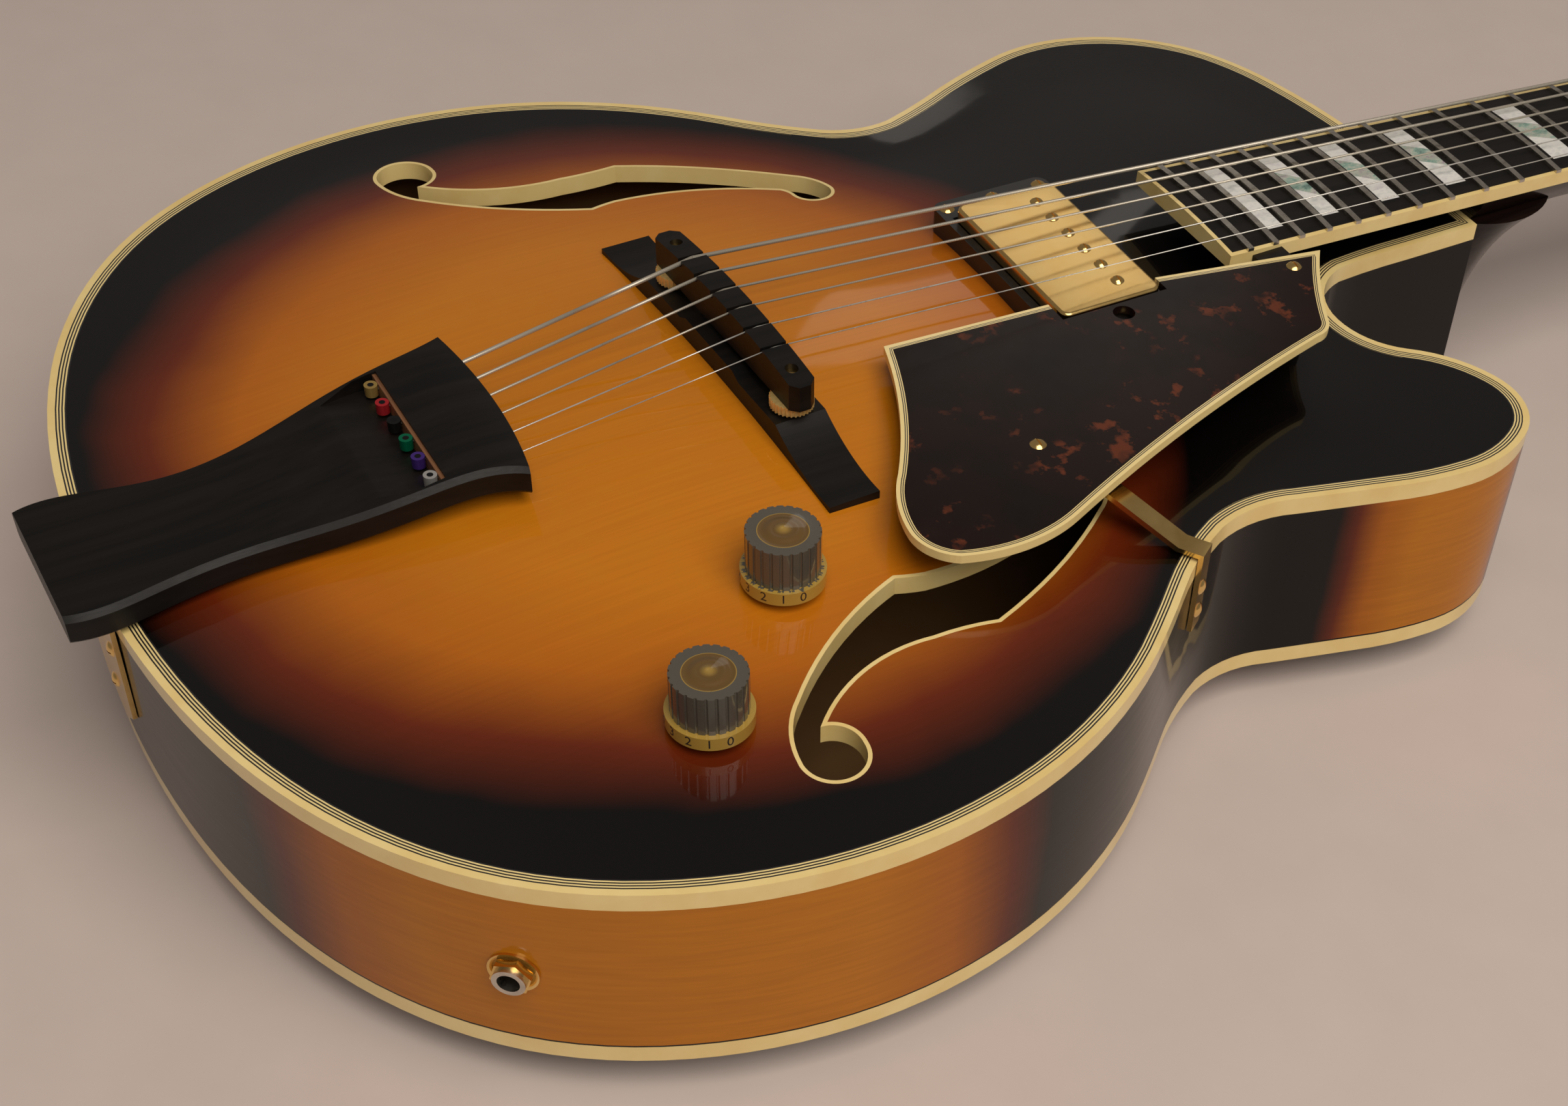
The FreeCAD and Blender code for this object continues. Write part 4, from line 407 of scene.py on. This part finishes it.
# Back plate
# A carved plate of flamed maple, arched like the top and sprayed the same way, with its figure across the
# body. It is glued on the rims' other edge, and its inside is bare wood.

BACK_BURST_MIDDLE = (0, -10)
BACK_BURST_REACH = (182, 230)
FIGURE_BROWN = (0.12, 0.055, 0.02, 1)
back = Finish("maple sunburst", **LACQUER)
spread = distance(back.guitar.axis(ACROSS), back.guitar.axis(ALONG), BACK_BURST_MIDDLE, BACK_BURST_REACH)
colour = sprayed(back, spread, PLATE_WANDER_SHARE)
flame = back.grain((0.25, 1.0, 0.25), 0.16, detail=2, roughness=0.4)
colour = flame.spread(0.0, 0.5).mix(colour, RED_BROWN, "MULTIPLY")
inside = back.facing(UP) > FLAT_SHARE
figure = back.place.noise(60, detail=4).spread(0.0, 0.4).mix(RAW_WOOD, FIGURE_BROWN)
lacquer_outside(back, colour, inside, figure, GLOSS_SHARE)
back.feed(roughness=flame.spread(0.28, 0.38))
back.bump(flame, strength=0.04, depth=0.2)
dress(back, "back_plate")


# Rims, linings and blocks
# Two sides of maple bent round the outline, amber over the lower bouts and at the horn and black elsewhere.
# Glue strips, end blocks and tone bars inside are bare wood.

BACK_EDGE = -62.3
LOWER_BURST_MIDDLE = (172, -112)
LOWER_BURST_REACH = (118, 118)
HORN_BURST_MIDDLE = (133, 203)
HORN_BURST_REACH = (58, 58)
SIDE_WANDER_SHARE = 0.06
BODY_MIDDLE = 60
SIDE_GLOSS_SHARE = 0.5
sides = Finish("maple sides", **LACQUER)
across, along, height = (sides.guitar.axis(number) for number in (ACROSS, ALONG, UP))
sideways = across.highest(across * -1)
lower = distance(sideways, along, LOWER_BURST_MIDDLE, LOWER_BURST_REACH)
horn = distance(sideways, along, HORN_BURST_MIDDLE, HORN_BURST_REACH) + sides.facing(ALONG).highest(0)
colour = sprayed(sides, lower.lowest(horn), SIDE_WANDER_SHARE)
grain = sides.grain((0.05, 0.05, 1.0), 0.7)
colour = grain.spread(0.1, 0.45).mix(colour, RED_BROWN, "MULTIPLY")
colour = (height < BACK_EDGE).mix(colour, BURST_BLACK)
inside = (sides.facing(ACROSS) * across + sides.facing(ALONG) * (along - BODY_MIDDLE)) < 0
lacquer_outside(sides, colour, inside, RAW_WOOD, SIDE_GLOSS_SHARE)
sides.feed(roughness=grain.spread(0.26, 0.38))
sides.bump(grain, strength=0.04, depth=0.2)
dress(sides, "rims")

PALE_WOOD = (0.38, 0.22, 0.10, 1)
raw = Finish("bare spruce")
grain = raw.grain((1.0, 0.05, 1.0), 0.8)
raw.stain(grain, (RAW_WOOD, PALE_WOOD), (0.65, 0.85))
raw.bump(grain, strength=0.2, depth=0.2)
dress(raw, "linings", "neck_block", "tail_block", "tone_bars")


# Bindings
# Strips of cream plastic glued into ledges round the top, the back, the sound holes and the board, scraped
# flush and yellowed by age. The top's inner strip has fine black lines.

CREAM = (0.84, 0.66, 0.29, 1)
CREAM_WORN = (0.77, 0.56, 0.21, 1)
INK = (0.012, 0.011, 0.012, 1)
STRIP_GLOSS = {"coat_weight": 0.6, "coat_roughness": 0.08}
cream = Finish("aged cream strip", **STRIP_GLOSS)
age = cream.place.noise(40, detail=4, roughness=0.6)
cream.feed(base_color=age.ramp((0.35, CREAM_WORN), (0.65, CREAM)), roughness=age.spread(0.24, 0.40))
cream.bump(cream.place.noise(600, detail=2), strength=0.05, depth=0.05)
dress(cream, "top_binding", "back_binding", "f_hole_bindings", "fretboard_binding")


def add_object(name, data):
    """Puts a new object with a mesh, text, lamp or camera into the scene."""
    made = bpy.data.objects.new(name, data)
    bpy.context.scene.collection.objects.link(made)
    return made


def across_strip(name, beside):
    """A copy of a strip's mesh that carries, at each point, how far it lies from the piece beside it."""
    strip = bmesh.new()
    strip.from_mesh(nodes[name].data)
    bmesh.ops.remove_doubles(strip, verts=strip.verts, dist=WELD)
    neighbour = bmesh.new()
    neighbour.from_mesh(nodes[beside].data)
    near = BVHTree.FromBMesh(neighbour)
    mesh = bpy.data.meshes.new(name + "_lines")
    strip.to_mesh(mesh)
    layer = mesh.attributes.new("across", "FLOAT", "POINT")
    for point in mesh.vertices:
        *_, gap = near.find_nearest(point.co)
        layer.data[point.index].value = gap / MM
    strip.free()
    neighbour.free()
    mesh.set_sharp_from_angle(angle=CREASE)
    return mesh


def strip_depth(finish):
    """How far a spot lies from the piece beside a strip, in millimetres, as across_strip has measured it."""
    return finish.place.node("ShaderNodeAttribute", {"attribute_name": "across"}, {}, "Fac")


def lined_piece(name, beside, finish, body):
    """Stands a measured copy of a strip, with its lines, in the strip's place."""
    piece = add_object(name + "_lines", across_strip(name, beside))
    piece.data.materials.append(finish.material)
    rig.replaces(piece, name)
    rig.ride(piece, body)
    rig.slot(piece, "cream")


PURFLING_WIDTH = 3.2
PURFLING_PLIES = 7
lines = Finish("cream strip with black lines", roughness=0.30, **STRIP_GLOSS)
pair = strip_depth(lines) / (PURFLING_WIDTH / PURFLING_PLIES) % 2
lines.feed(base_color=(pair < 1).mix(CREAM, INK))
lined_piece("top_purfling", "top_binding", lines, "guitar")


# Neck
# One piece of maple under dark lacquer, with shaft, headstock and heel. Its dovetail is glued in the body
# and a steel rod lies inside.

NECK_BROWN = (0.016, 0.007, 0.005, 1)
neck = Finish("dark lacquered maple", coat_weight=GLOSS_SHARE, **LACQUER)
grain = neck.grain((1.0, 0.03, 1.0), 0.5)
neck.feed(base_color=grain.ramp((0.3, BURST_BLACK), (0.8, NECK_BROWN)), roughness=grain.spread(0.28, 0.40))
neck.bump(grain, strength=0.04, depth=0.2)
dress(neck, "neck")


# Ebony pieces
# Fretboard, bridge, tailpiece, headstock face and the guard's block: black wood with fine pores, rubbed to a
# satin. The board and the headstock face are glued on; the bridge is held by the strings. A rosewood strip
# lies in the tailpiece's slot.

EBONY = (0.0035, 0.0028, 0.0024, 1)
EBONY_STREAK = (0.010, 0.0075, 0.006, 1)
ebony = Finish("satin ebony", specular_ior_level=0.22)
pores = ebony.grain((1.0, 0.06, 1.0), 2.2, detail=3, roughness=0.7)
streak = ebony.grain((1.0, 0.03, 1.0), 0.22, detail=3)
colour = streak.ramp((0.35, EBONY), (0.75, EBONY_STREAK))
ebony.feed(base_color=colour, roughness=pores.spread(0.34, 0.55))
ebony.bump(pores, strength=0.10, depth=0.12)
dress(ebony, "fretboard", "bridge_base", "bridge_saddle", "tailpiece", "headstock_overlay", "guard_block")

DARK_ROSEWOOD = (0.10, 0.04, 0.016, 1)
ROSEWOOD = (0.23, 0.10, 0.04, 1)
rosewood = Finish("rosewood strip")
rosewood.stain(rosewood.grain((0.05, 1.0, 1.0), 1.2), (DARK_ROSEWOOD, ROSEWOOD), (0.4, 0.6))
dress(rosewood, "tailpiece_strip")


# Frets, inlays and nut
# Nickel wire pressed into slots, dressed round and polished by the strings; blocks of pearl with shell
# middles let into the board; a bone nut glued at its end. Pots and jack are plated in nickel too.

DULL_NICKEL = (0.50, 0.46, 0.40, 1)
NICKEL = (0.66, 0.62, 0.54, 1)
nickel = Finish("nickel silver", metallic=1.0)
nickel.stain(nickel.place.noise(300), (DULL_NICKEL, NICKEL), (0.18, 0.38))
dress(nickel, "frets", "volume_shaft", "tone_shaft", "pots", "jack_socket")

PEARL_GREY = (0.55, 0.56, 0.55, 1)
PEARL_WHITE = (0.78, 0.77, 0.72, 1)
PEARL_ROSE = (0.62, 0.60, 0.62, 1)
SHELL_SHEEN = (0.14, 0.3)
pearl = Finish("pearl", coat_weight=0.7, coat_roughness=0.05)
figure = pearl.grain((1.0, 0.5, 1.0), 0.35, roughness=0.65)
colour = figure.ramp((0.3, PEARL_GREY), (0.5, PEARL_WHITE), (0.7, PEARL_ROSE))
pearl.feed(base_color=colour, roughness=figure.spread(*SHELL_SHEEN))
dress(pearl, "inlays_pearl")

SHELL_DEEP = (0.05, 0.09, 0.08, 1)
SHELL_GREEN = (0.22, 0.36, 0.30, 1)
SHELL_PALE = (0.48, 0.50, 0.42, 1)
SHELL_VIOLET = (0.30, 0.22, 0.30, 1)
SHELL_BLUE = (0.08, 0.16, 0.18, 1)
abalone = Finish("abalone", coat_weight=0.8, coat_roughness=0.05)
figure = abalone.grain((1.0, 0.6, 1.0), 0.28, detail=5, roughness=0.7)
colour = figure.ramp((0.25, SHELL_DEEP), (0.42, SHELL_GREEN), (0.55, SHELL_PALE), (0.68, SHELL_VIOLET),
                     (0.8, SHELL_BLUE))
abalone.feed(base_color=colour, roughness=figure.spread(*SHELL_SHEEN))
dress(abalone, "inlays_abalone")

BONE_SHADE = (0.62, 0.55, 0.42, 1)
BONE = (0.74, 0.68, 0.56, 1)
bone = Finish("bone")
bone.stain(bone.place.noise(200, detail=4), (BONE_SHADE, BONE), (0.28, 0.42))
dress(bone, "nut")


# Gold plated fittings
# Tuners, bridge posts and wheels, hinge, tail plate, pickup cover, bracket and screws: plated brass, a little
# dulled, screwed to the wood or turning in it. The wheels' knurled edges are duller than the rest.

DULL_GOLD = (0.72, 0.47, 0.16, 1)
GOLD = (0.88, 0.62, 0.24, 1)
TUNER_COUNT = 6
TUNERS = [name % (number + 1) for number in range(TUNER_COUNT)
          for name in ("tuner_post_%d", "tuner_button_%d")]
gold = Finish("gold plate", metallic=1.0)
gold.stain(gold.place.noise(90, detail=4, roughness=0.6), (DULL_GOLD, GOLD), (0.12, 0.26))
dress(gold, "tuner_housings", "bridge_posts", "hinge_leaf", "tail_plate", "pickup_cover", "guard_bracket",
      "small_screws", "jack_nut", *TUNERS)
knurled = Finish("knurled gold", metallic=0.6)
knurled.stain(knurled.place.noise(900, roughness=0.6), (DULL_GOLD, GOLD), (0.36, 0.52))
dress(knurled, "thumbwheel_bass", "thumbwheel_treble")


# Strings and truss rod
# Six steel strings, the lower four wound with wire, run from the ball ends over saddle and nut to the posts.
# Each string is four pieces, so that it follows the tailpiece and the saddle; the rod lies in the neck.

DULL_STEEL = (0.56, 0.54, 0.50, 1)
STEEL = (0.72, 0.70, 0.65, 1)
steel = Finish("bright steel", metallic=0.6)
steel.stain(steel.place.noise(200), (DULL_STEEL, STEEL), (0.2, 0.36))
dress(steel, "truss_rod")

WINDING_PITCH = 0.35
WINDING_GROOVE_PAINTED_SHADE = (0.30, 0.26, 0.20, 1)
WINDING_RIDGE = (0.72, 0.67, 0.57, 1)
winding = Finish("wound string", metallic=0.6)
# The turns of wire are drawn in colour alone: the grooves between them carry a painted shade, darker than the bare
# ridges.
turns = winding.guitar.axis(ALONG).wave(WINDING_PITCH).spread(0.5, 1.0)
colour = turns.ramp((0.0, WINDING_GROOVE_PAINTED_SHADE), (1.0, WINDING_RIDGE))
winding.feed(base_color=colour, roughness=turns.spread(0.3, 0.45))

WOUND_STRINGS = 4
STRING_SIDES = 12
RING_GAP = 2.5 * MM


def islands(shell):
    """The loose parts of a mesh, each as a set of its points."""
    left = set(shell.verts)
    while left:
        island, fresh = set(), {left.pop()}
        while fresh:
            point = fresh.pop()
            island.add(point)
            fresh |= {edge.other_vert(point) for edge in point.link_edges} - island
        left -= island
        yield island


def string_lines():
    """For each string, from the lowest, the spots that it bends at, from tail to post, and its radius.

    A string's points lie in rings round its bends, and a gap along the string parts one ring from the next.
    """
    shell = bmesh.new()
    shell.from_mesh(nodes["strings"].data)
    bmesh.ops.remove_doubles(shell, verts=shell.verts, dist=WELD)
    found = []
    for island in islands(shell):
        points = sorted((point.co.copy() for point in island), key=lambda spot: spot.y)
        rings = [[points[0]]]
        for spot in points[1:]:
            if spot.y - rings[-1][-1].y > RING_GAP:
                rings.append([])
            rings[-1].append(spot)
        bends = [sum(ring, Vector()) / len(ring) for ring in rings]
        found.append((bends, max((spot - bends[0]).length for spot in rings[0])))
    shell.free()
    return sorted(found, key=lambda line: line[0][0].x)


def string_piece(name, runs):
    """One object with a tube along each run; a run is its spots, its radius and its finish's number."""
    shell = bmesh.new()
    corners = [2 * math.pi * corner / STRING_SIDES for corner in range(STRING_SIDES)]
    for spots, radius, number in runs:
        ways = [(after - before).normalized() for before, after in zip(spots, spots[1:])]
        between = [(before + after).normalized() for before, after in zip(ways, ways[1:])]
        ways = [ways[0], *between, ways[-1]]
        rings = []
        for spot, way in zip(spots, ways):
            side = way.cross(Vector((1, 0, 0))).normalized()
            other = way.cross(side)
            around = [math.cos(turn) * side + math.sin(turn) * other for turn in corners]
            rings.append([shell.verts.new(spot + radius * outward) for outward in around])
        walls = [shell.faces.new((low[corner - 1], low[corner], high[corner], high[corner - 1]))
                 for low, high in zip(rings, rings[1:]) for corner in range(STRING_SIDES)]
        ends = [shell.faces.new(rings[0][::-1]), shell.faces.new(rings[-1])]
        for face in walls:
            face.smooth = True
        for face in walls + ends:
            face.material_index = number
    bmesh.ops.recalc_face_normals(shell, faces=shell.faces)
    mesh = bpy.data.meshes.new(name)
    shell.to_mesh(mesh)
    shell.free()
    mesh.materials.append(winding.material)
    mesh.materials.append(steel.material)
    piece = add_object(name, mesh)
    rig.replaces(piece, "strings")
    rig.slot(piece, "steel")
    return piece


tail_runs, bridge_runs, neck_runs, head_runs = [], [], [], []
for order, (bends, radius) in enumerate(string_lines()):
    finish_number = 0 if order < WOUND_STRINGS else 1
    ball, front, saddle, nut, *rest = bends
    middle = (front + saddle) / 2
    tail_runs.append(([ball, front, middle], radius, finish_number))
    bridge_runs.append(([middle, saddle], radius, finish_number))
    neck_runs.append(([saddle, nut], radius, finish_number))
    head_runs.append(([nut, *rest], radius, finish_number))
# The bends of the last string say where each blend begins and ends.
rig.blend(string_piece("strings_at_tail", tail_runs), "guitar", "tail", start=middle, end=front)
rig.blend(string_piece("strings_at_bridge", bridge_runs), "guitar", "saddle", start=middle, end=saddle)
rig.blend(string_piece("strings_over_board", neck_runs), "guitar", "saddle", start=nut, end=saddle)
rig.ride(string_piece("strings_at_head", head_runs), "guitar")


# Ball ends
# Small brass barrels on the strings' ends, which hold them in the tailpiece. Each has a hole through it and a
# coat of its own colour.

BRASS_COAT = (0.50, 0.33, 0.10, 1)
RED_COAT = (0.62, 0.03, 0.04, 1)
BLACK_COAT = (0.015, 0.015, 0.015, 1)
GREEN_COAT = (0.0, 0.19, 0.09, 1)
VIOLET_COAT = (0.09, 0.04, 0.30, 1)
SILVER_COAT = (0.55, 0.54, 0.52, 1)
BALL_COATS = (BRASS_COAT, RED_COAT, BLACK_COAT, GREEN_COAT, VIOLET_COAT, SILVER_COAT)
BALL_PITCH = 9.3
BALL_HOLE = 0.95
ball_low, ball_high = (Vector(corner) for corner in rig.box("ball_ends"))
ball_line = ((ball_low.y + ball_high.y) / 2 - SADDLE.y) / MM
balls = Finish("coloured barrels", metallic=0.7)
order = balls.guitar.axis(ACROSS) / BALL_PITCH + len(BALL_COATS) / 2
stops = [(number / len(BALL_COATS), coat) for number, coat in enumerate(BALL_COATS)]
coats = (order / len(BALL_COATS)).ramp(*stops, interpolation="CONSTANT")
across = (order % 1 - 0.5) * BALL_PITCH
# The hole through each barrel is not cut; it is a black disc of painted shade on the barrel's surface.
hole_painted_shade = distance(across, balls.guitar.axis(ALONG), (0, ball_line)) < BALL_HOLE
balls.feed(base_color=hole_painted_shade.mix(coats, INK))
balls.feed(roughness=balls.place.noise(500, detail=2).spread(0.2, 0.35))
dress(balls, "ball_ends")


# Pickguard
# A sheet of dark tortoise-pattern plastic with sparse red flecks, its edge built up of cream and fine black
# lines. It floats over the top on a block at the neck and a bracket at the rim.

NONE = (0, 0, 0, 1)
FULL = (1, 1, 1, 1)
TORTOISE_DARK = (0.006, 0.0035, 0.003, 1)
TORTOISE_BROWN = (0.013, 0.0055, 0.004, 1)
FLECK_RED = (0.11, 0.026, 0.010, 1)
tortoise = Finish("tortoise sheet", specular_ior_level=0.14)
wander = tortoise.place.noise(34, detail=4, roughness=0.6)
fleck = tortoise.place.noise(130, detail=4, roughness=0.6)
red = wander.ramp((0.50, NONE), (0.60, FULL)) * fleck.ramp((0.57, NONE), (0.64, FULL))
base = wander.ramp((0.3, TORTOISE_DARK), (0.7, TORTOISE_BROWN))
tortoise.feed(base_color=red.mix(base, FLECK_RED), roughness=fleck.spread(0.16, 0.26))
dress(tortoise, "pickguard")

GUARD_PLY = 0.3
GUARD_PLIES = 4
edging = Finish("guard edge", roughness=0.28, **STRIP_GLOSS)
depth = strip_depth(edging)
black_line = (depth / GUARD_PLY % 2 > 1) * (depth < GUARD_PLIES * GUARD_PLY)
edging.feed(base_color=black_line.mix(CREAM, INK))
lined_piece("pickguard_binding", "pickguard", edging, "guitar")


# Black plastic pieces
# The pickup's ring and the truss rod's cover, moulded of black plastic with a satin skin and screwed on, and
# the pickup's coils, which its metal cover hides.

BLACK_PLASTIC = (0.008, 0.008, 0.008, 1)
WORN_PLASTIC = (0.014, 0.013, 0.013, 1)
black = Finish("black plastic", specular_ior_level=0.4)
black.stain(black.place.noise(400), (BLACK_PLASTIC, WORN_PLASTIC), (0.24, 0.36))
dress(black, "pickup_ring", "truss_rod_cover", "pickup_core")


# Knobs
# Amber plastic moulded round a gold-foiled skirt, with a dark fluted grip and rings in its top. Numbers are
# printed round the skirt, and each knob is pressed on its shaft.

SKIRT_HEIGHT = 4.2
DOME_RADIUS = 7.4
RING_PITCH = 3.4
NUMERALS = 11
NUMERAL_STEP = math.radians(27)
NUMERAL_HEIGHT = 3.0 * MM
NUMERAL_BASE = 0.9 * MM
DIGIT_SHARE = 0.7
INK_THICKNESS = 0.02 * MM
FADED_INK = (0.02, 0.018, 0.016, 1)
SMOKE = (0.080, 0.070, 0.054, 1)
DARK_AMBER = (0.12, 0.062, 0.010, 1)
BRIGHT_AMBER = (0.40, 0.25, 0.045, 1)
ink = Finish("black print", roughness=0.4)
ink.feed(base_color=ink.place.noise(300, detail=2).ramp((0.3, INK), (0.7, FADED_INK)))


def numeral(number):
    """A number as a flat mesh, standing on its own origin. A digit is lower than its font's size."""
    words = bpy.data.curves.new("numeral", "FONT")
    words.body = str(number)
    words.size = NUMERAL_HEIGHT / DIGIT_SHARE
    words.align_x = "CENTER"
    words.extrude = INK_THICKNESS
    holder = add_object("numeral", words)
    graph = bpy.context.evaluated_depsgraph_get()
    mesh = bpy.data.meshes.new_from_object(holder.evaluated_get(graph))
    bpy.data.objects.remove(holder)
    return mesh


def numeral_ring(name, foot, radius):
    """The numbers 0 to 10 printed round a knob's skirt."""
    ring = bmesh.new()
    up = Vector((0, 0, 1))
    for number in range(NUMERALS):
        turn = -number * NUMERAL_STEP
        outward = Vector((math.cos(turn), math.sin(turn), 0))
        stand = Matrix((up.cross(outward), up, outward)).transposed().to_4x4()
        spot = foot + outward * radius + up * NUMERAL_BASE
        mesh = numeral(number)
        mesh.transform(Matrix.Translation(spot) @ stand)
        ring.from_mesh(mesh)
        bpy.data.meshes.remove(mesh)
    printed = bpy.data.meshes.new(name)
    ring.to_mesh(printed)
    ring.free()
    printed.materials.append(ink.material)
    return add_object(name, printed)


for body in ("volume", "tone"):
    low, high = (Vector(corner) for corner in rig.box(body + "_knob"))
    foot = Vector(((low.x + high.x) / 2, (low.y + high.y) / 2, low.z))
    knob = Finish(body + " knob", coat_weight=0.8, coat_roughness=0.05)
    local = knob.place.from_spot(foot)
    radius = distance(local.axis(ACROSS), local.axis(ALONG), (0, 0))
    grip = (local.axis(UP) > SKIRT_HEIGHT) * (radius > DOME_RADIUS)
    stain = knob.place.noise(180)
    # The dome is painted bright amber at its middle, fading to dark amber outward: a painted highlight. Its outer edge
    # turns bright again, into the gold foil of the skirt.
    dome = (radius / DOME_RADIUS).ramp((0.0, BRIGHT_AMBER), (0.35, DARK_AMBER), (0.95, DARK_AMBER),
                                       (1.0, BRIGHT_AMBER))
    knob.feed(base_color=grip.mix(dome, SMOKE), roughness=stain.spread(0.2, 0.34))
    rings = radius.wave(RING_PITCH) * (radius < DOME_RADIUS)
    knob.bump(rings, strength=0.4, depth=0.3)
    dress(knob, body + "_knob")
    numbers = numeral_ring(body + "_numbers", foot, (high.x - low.x) / 2)
    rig.ride(numbers, body)
    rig.slot(numbers, "black_plastic")


# Floor, lights and camera
# The guitar lies on a wide sheet of plain grey paper. A large soft lamp hangs over its treble side in an even
# room light, and a faint card lights the pickup's cover. The camera looks from the treble side of the tail.

PAPER_SHADE = (0.56, 0.474, 0.437, 1)
PAPER = (0.58, 0.492, 0.455, 1)
FLOOR_HALF = 4.0
paper = Finish("grey paper")
paper.stain(paper.place.noise(30, detail=4, roughness=0.6), (PAPER_SHADE, PAPER), (0.8, 0.9))
floor_mesh = bpy.data.meshes.new("paper")
corners = [(side * FLOOR_HALF, end * FLOOR_HALF, 0) for side, end in ((-1, -1), (1, -1), (1, 1), (-1, 1))]
floor_mesh.from_pydata(corners, [], [range(len(corners))])
floor_mesh.materials.append(paper.material)
floor = add_object("paper", floor_mesh)
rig.stage(floor)

WARM = (1.0, 0.93, 0.84)


def lamp(name, spot, aim, size, watts):
    """A soft rectangular lamp of warm light at a spot, turned to its aim."""
    light = bpy.data.lights.new(name, "AREA")
    light.shape = "RECTANGLE"
    light.size, light.size_y = size
    light.energy = watts
    light.color = WARM
    holder = add_object(name, light)
    holder.location = spot
    holder.rotation_euler = (Vector(aim) - Vector(spot)).to_track_quat("-Z", "Y").to_euler()


lamp("room side", spot=(1.3, -0.25, 2.0), aim=(0.25, -0.15, 0), size=(1.9, 1.9), watts=50)
lamp("cover card", spot=(-1.52, 0.88, 1.29), aim=(0, -0.18, 0.1), size=(0.5, 0.4), watts=0.5)

ROOM_TINT = (0.50, 0.455, 0.42, 1)
ROOM_STRENGTH = 0.38
world = bpy.data.worlds.new("studio")
world.use_nodes = True
room = world.node_tree.nodes["Background"]
room.inputs["Color"].default_value = ROOM_TINT
room.inputs["Strength"].default_value = ROOM_STRENGTH
bpy.context.scene.world = world

IMAGE_WIDTH, IMAGE_HEIGHT = 2296, 1620
SENSOR = 36.0
FOCUS_PIXELS = 3340.047
CENTRE_PIXELS = (1485.206, 1283.763)
EYE = Vector((533.728, -256.073, 438.699)) * MM
QUARTER_TURN = math.radians(90)
HEADING = math.radians(144.28627)
TILT = math.radians(48.17576)
ROLL = math.radians(6.16955)
lens = bpy.data.cameras.new("photo camera")
lens.sensor_width = SENSOR
lens.lens = FOCUS_PIXELS * SENSOR / IMAGE_WIDTH
lens.shift_x = (IMAGE_WIDTH / 2 - CENTRE_PIXELS[0]) / IMAGE_WIDTH
lens.shift_y = (CENTRE_PIXELS[1] - IMAGE_HEIGHT / 2) / IMAGE_WIDTH
lens.clip_start = 0.01
camera = add_object("photo camera", lens)
# The camera starts by looking straight down, and is rolled, raised to its tilt and turned to its heading.
raised = Matrix.Rotation(QUARTER_TURN - TILT, 4, "X") @ Matrix.Rotation(ROLL, 4, "Z")
turned = Matrix.Rotation(HEADING - QUARTER_TURN, 4, "Z") @ raised
camera.matrix_world = Matrix.Translation(SADDLE + EYE) @ turned
bpy.context.scene.camera = camera
bpy.context.scene.view_settings.view_transform = "Standard"

with open("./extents.json", "w") as size_file:
    sizes = {"cad": cad_box, "visual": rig.bounds()}
    json.dump({name: [list(corner) for corner in box] for name, box in sizes.items()}, size_file)
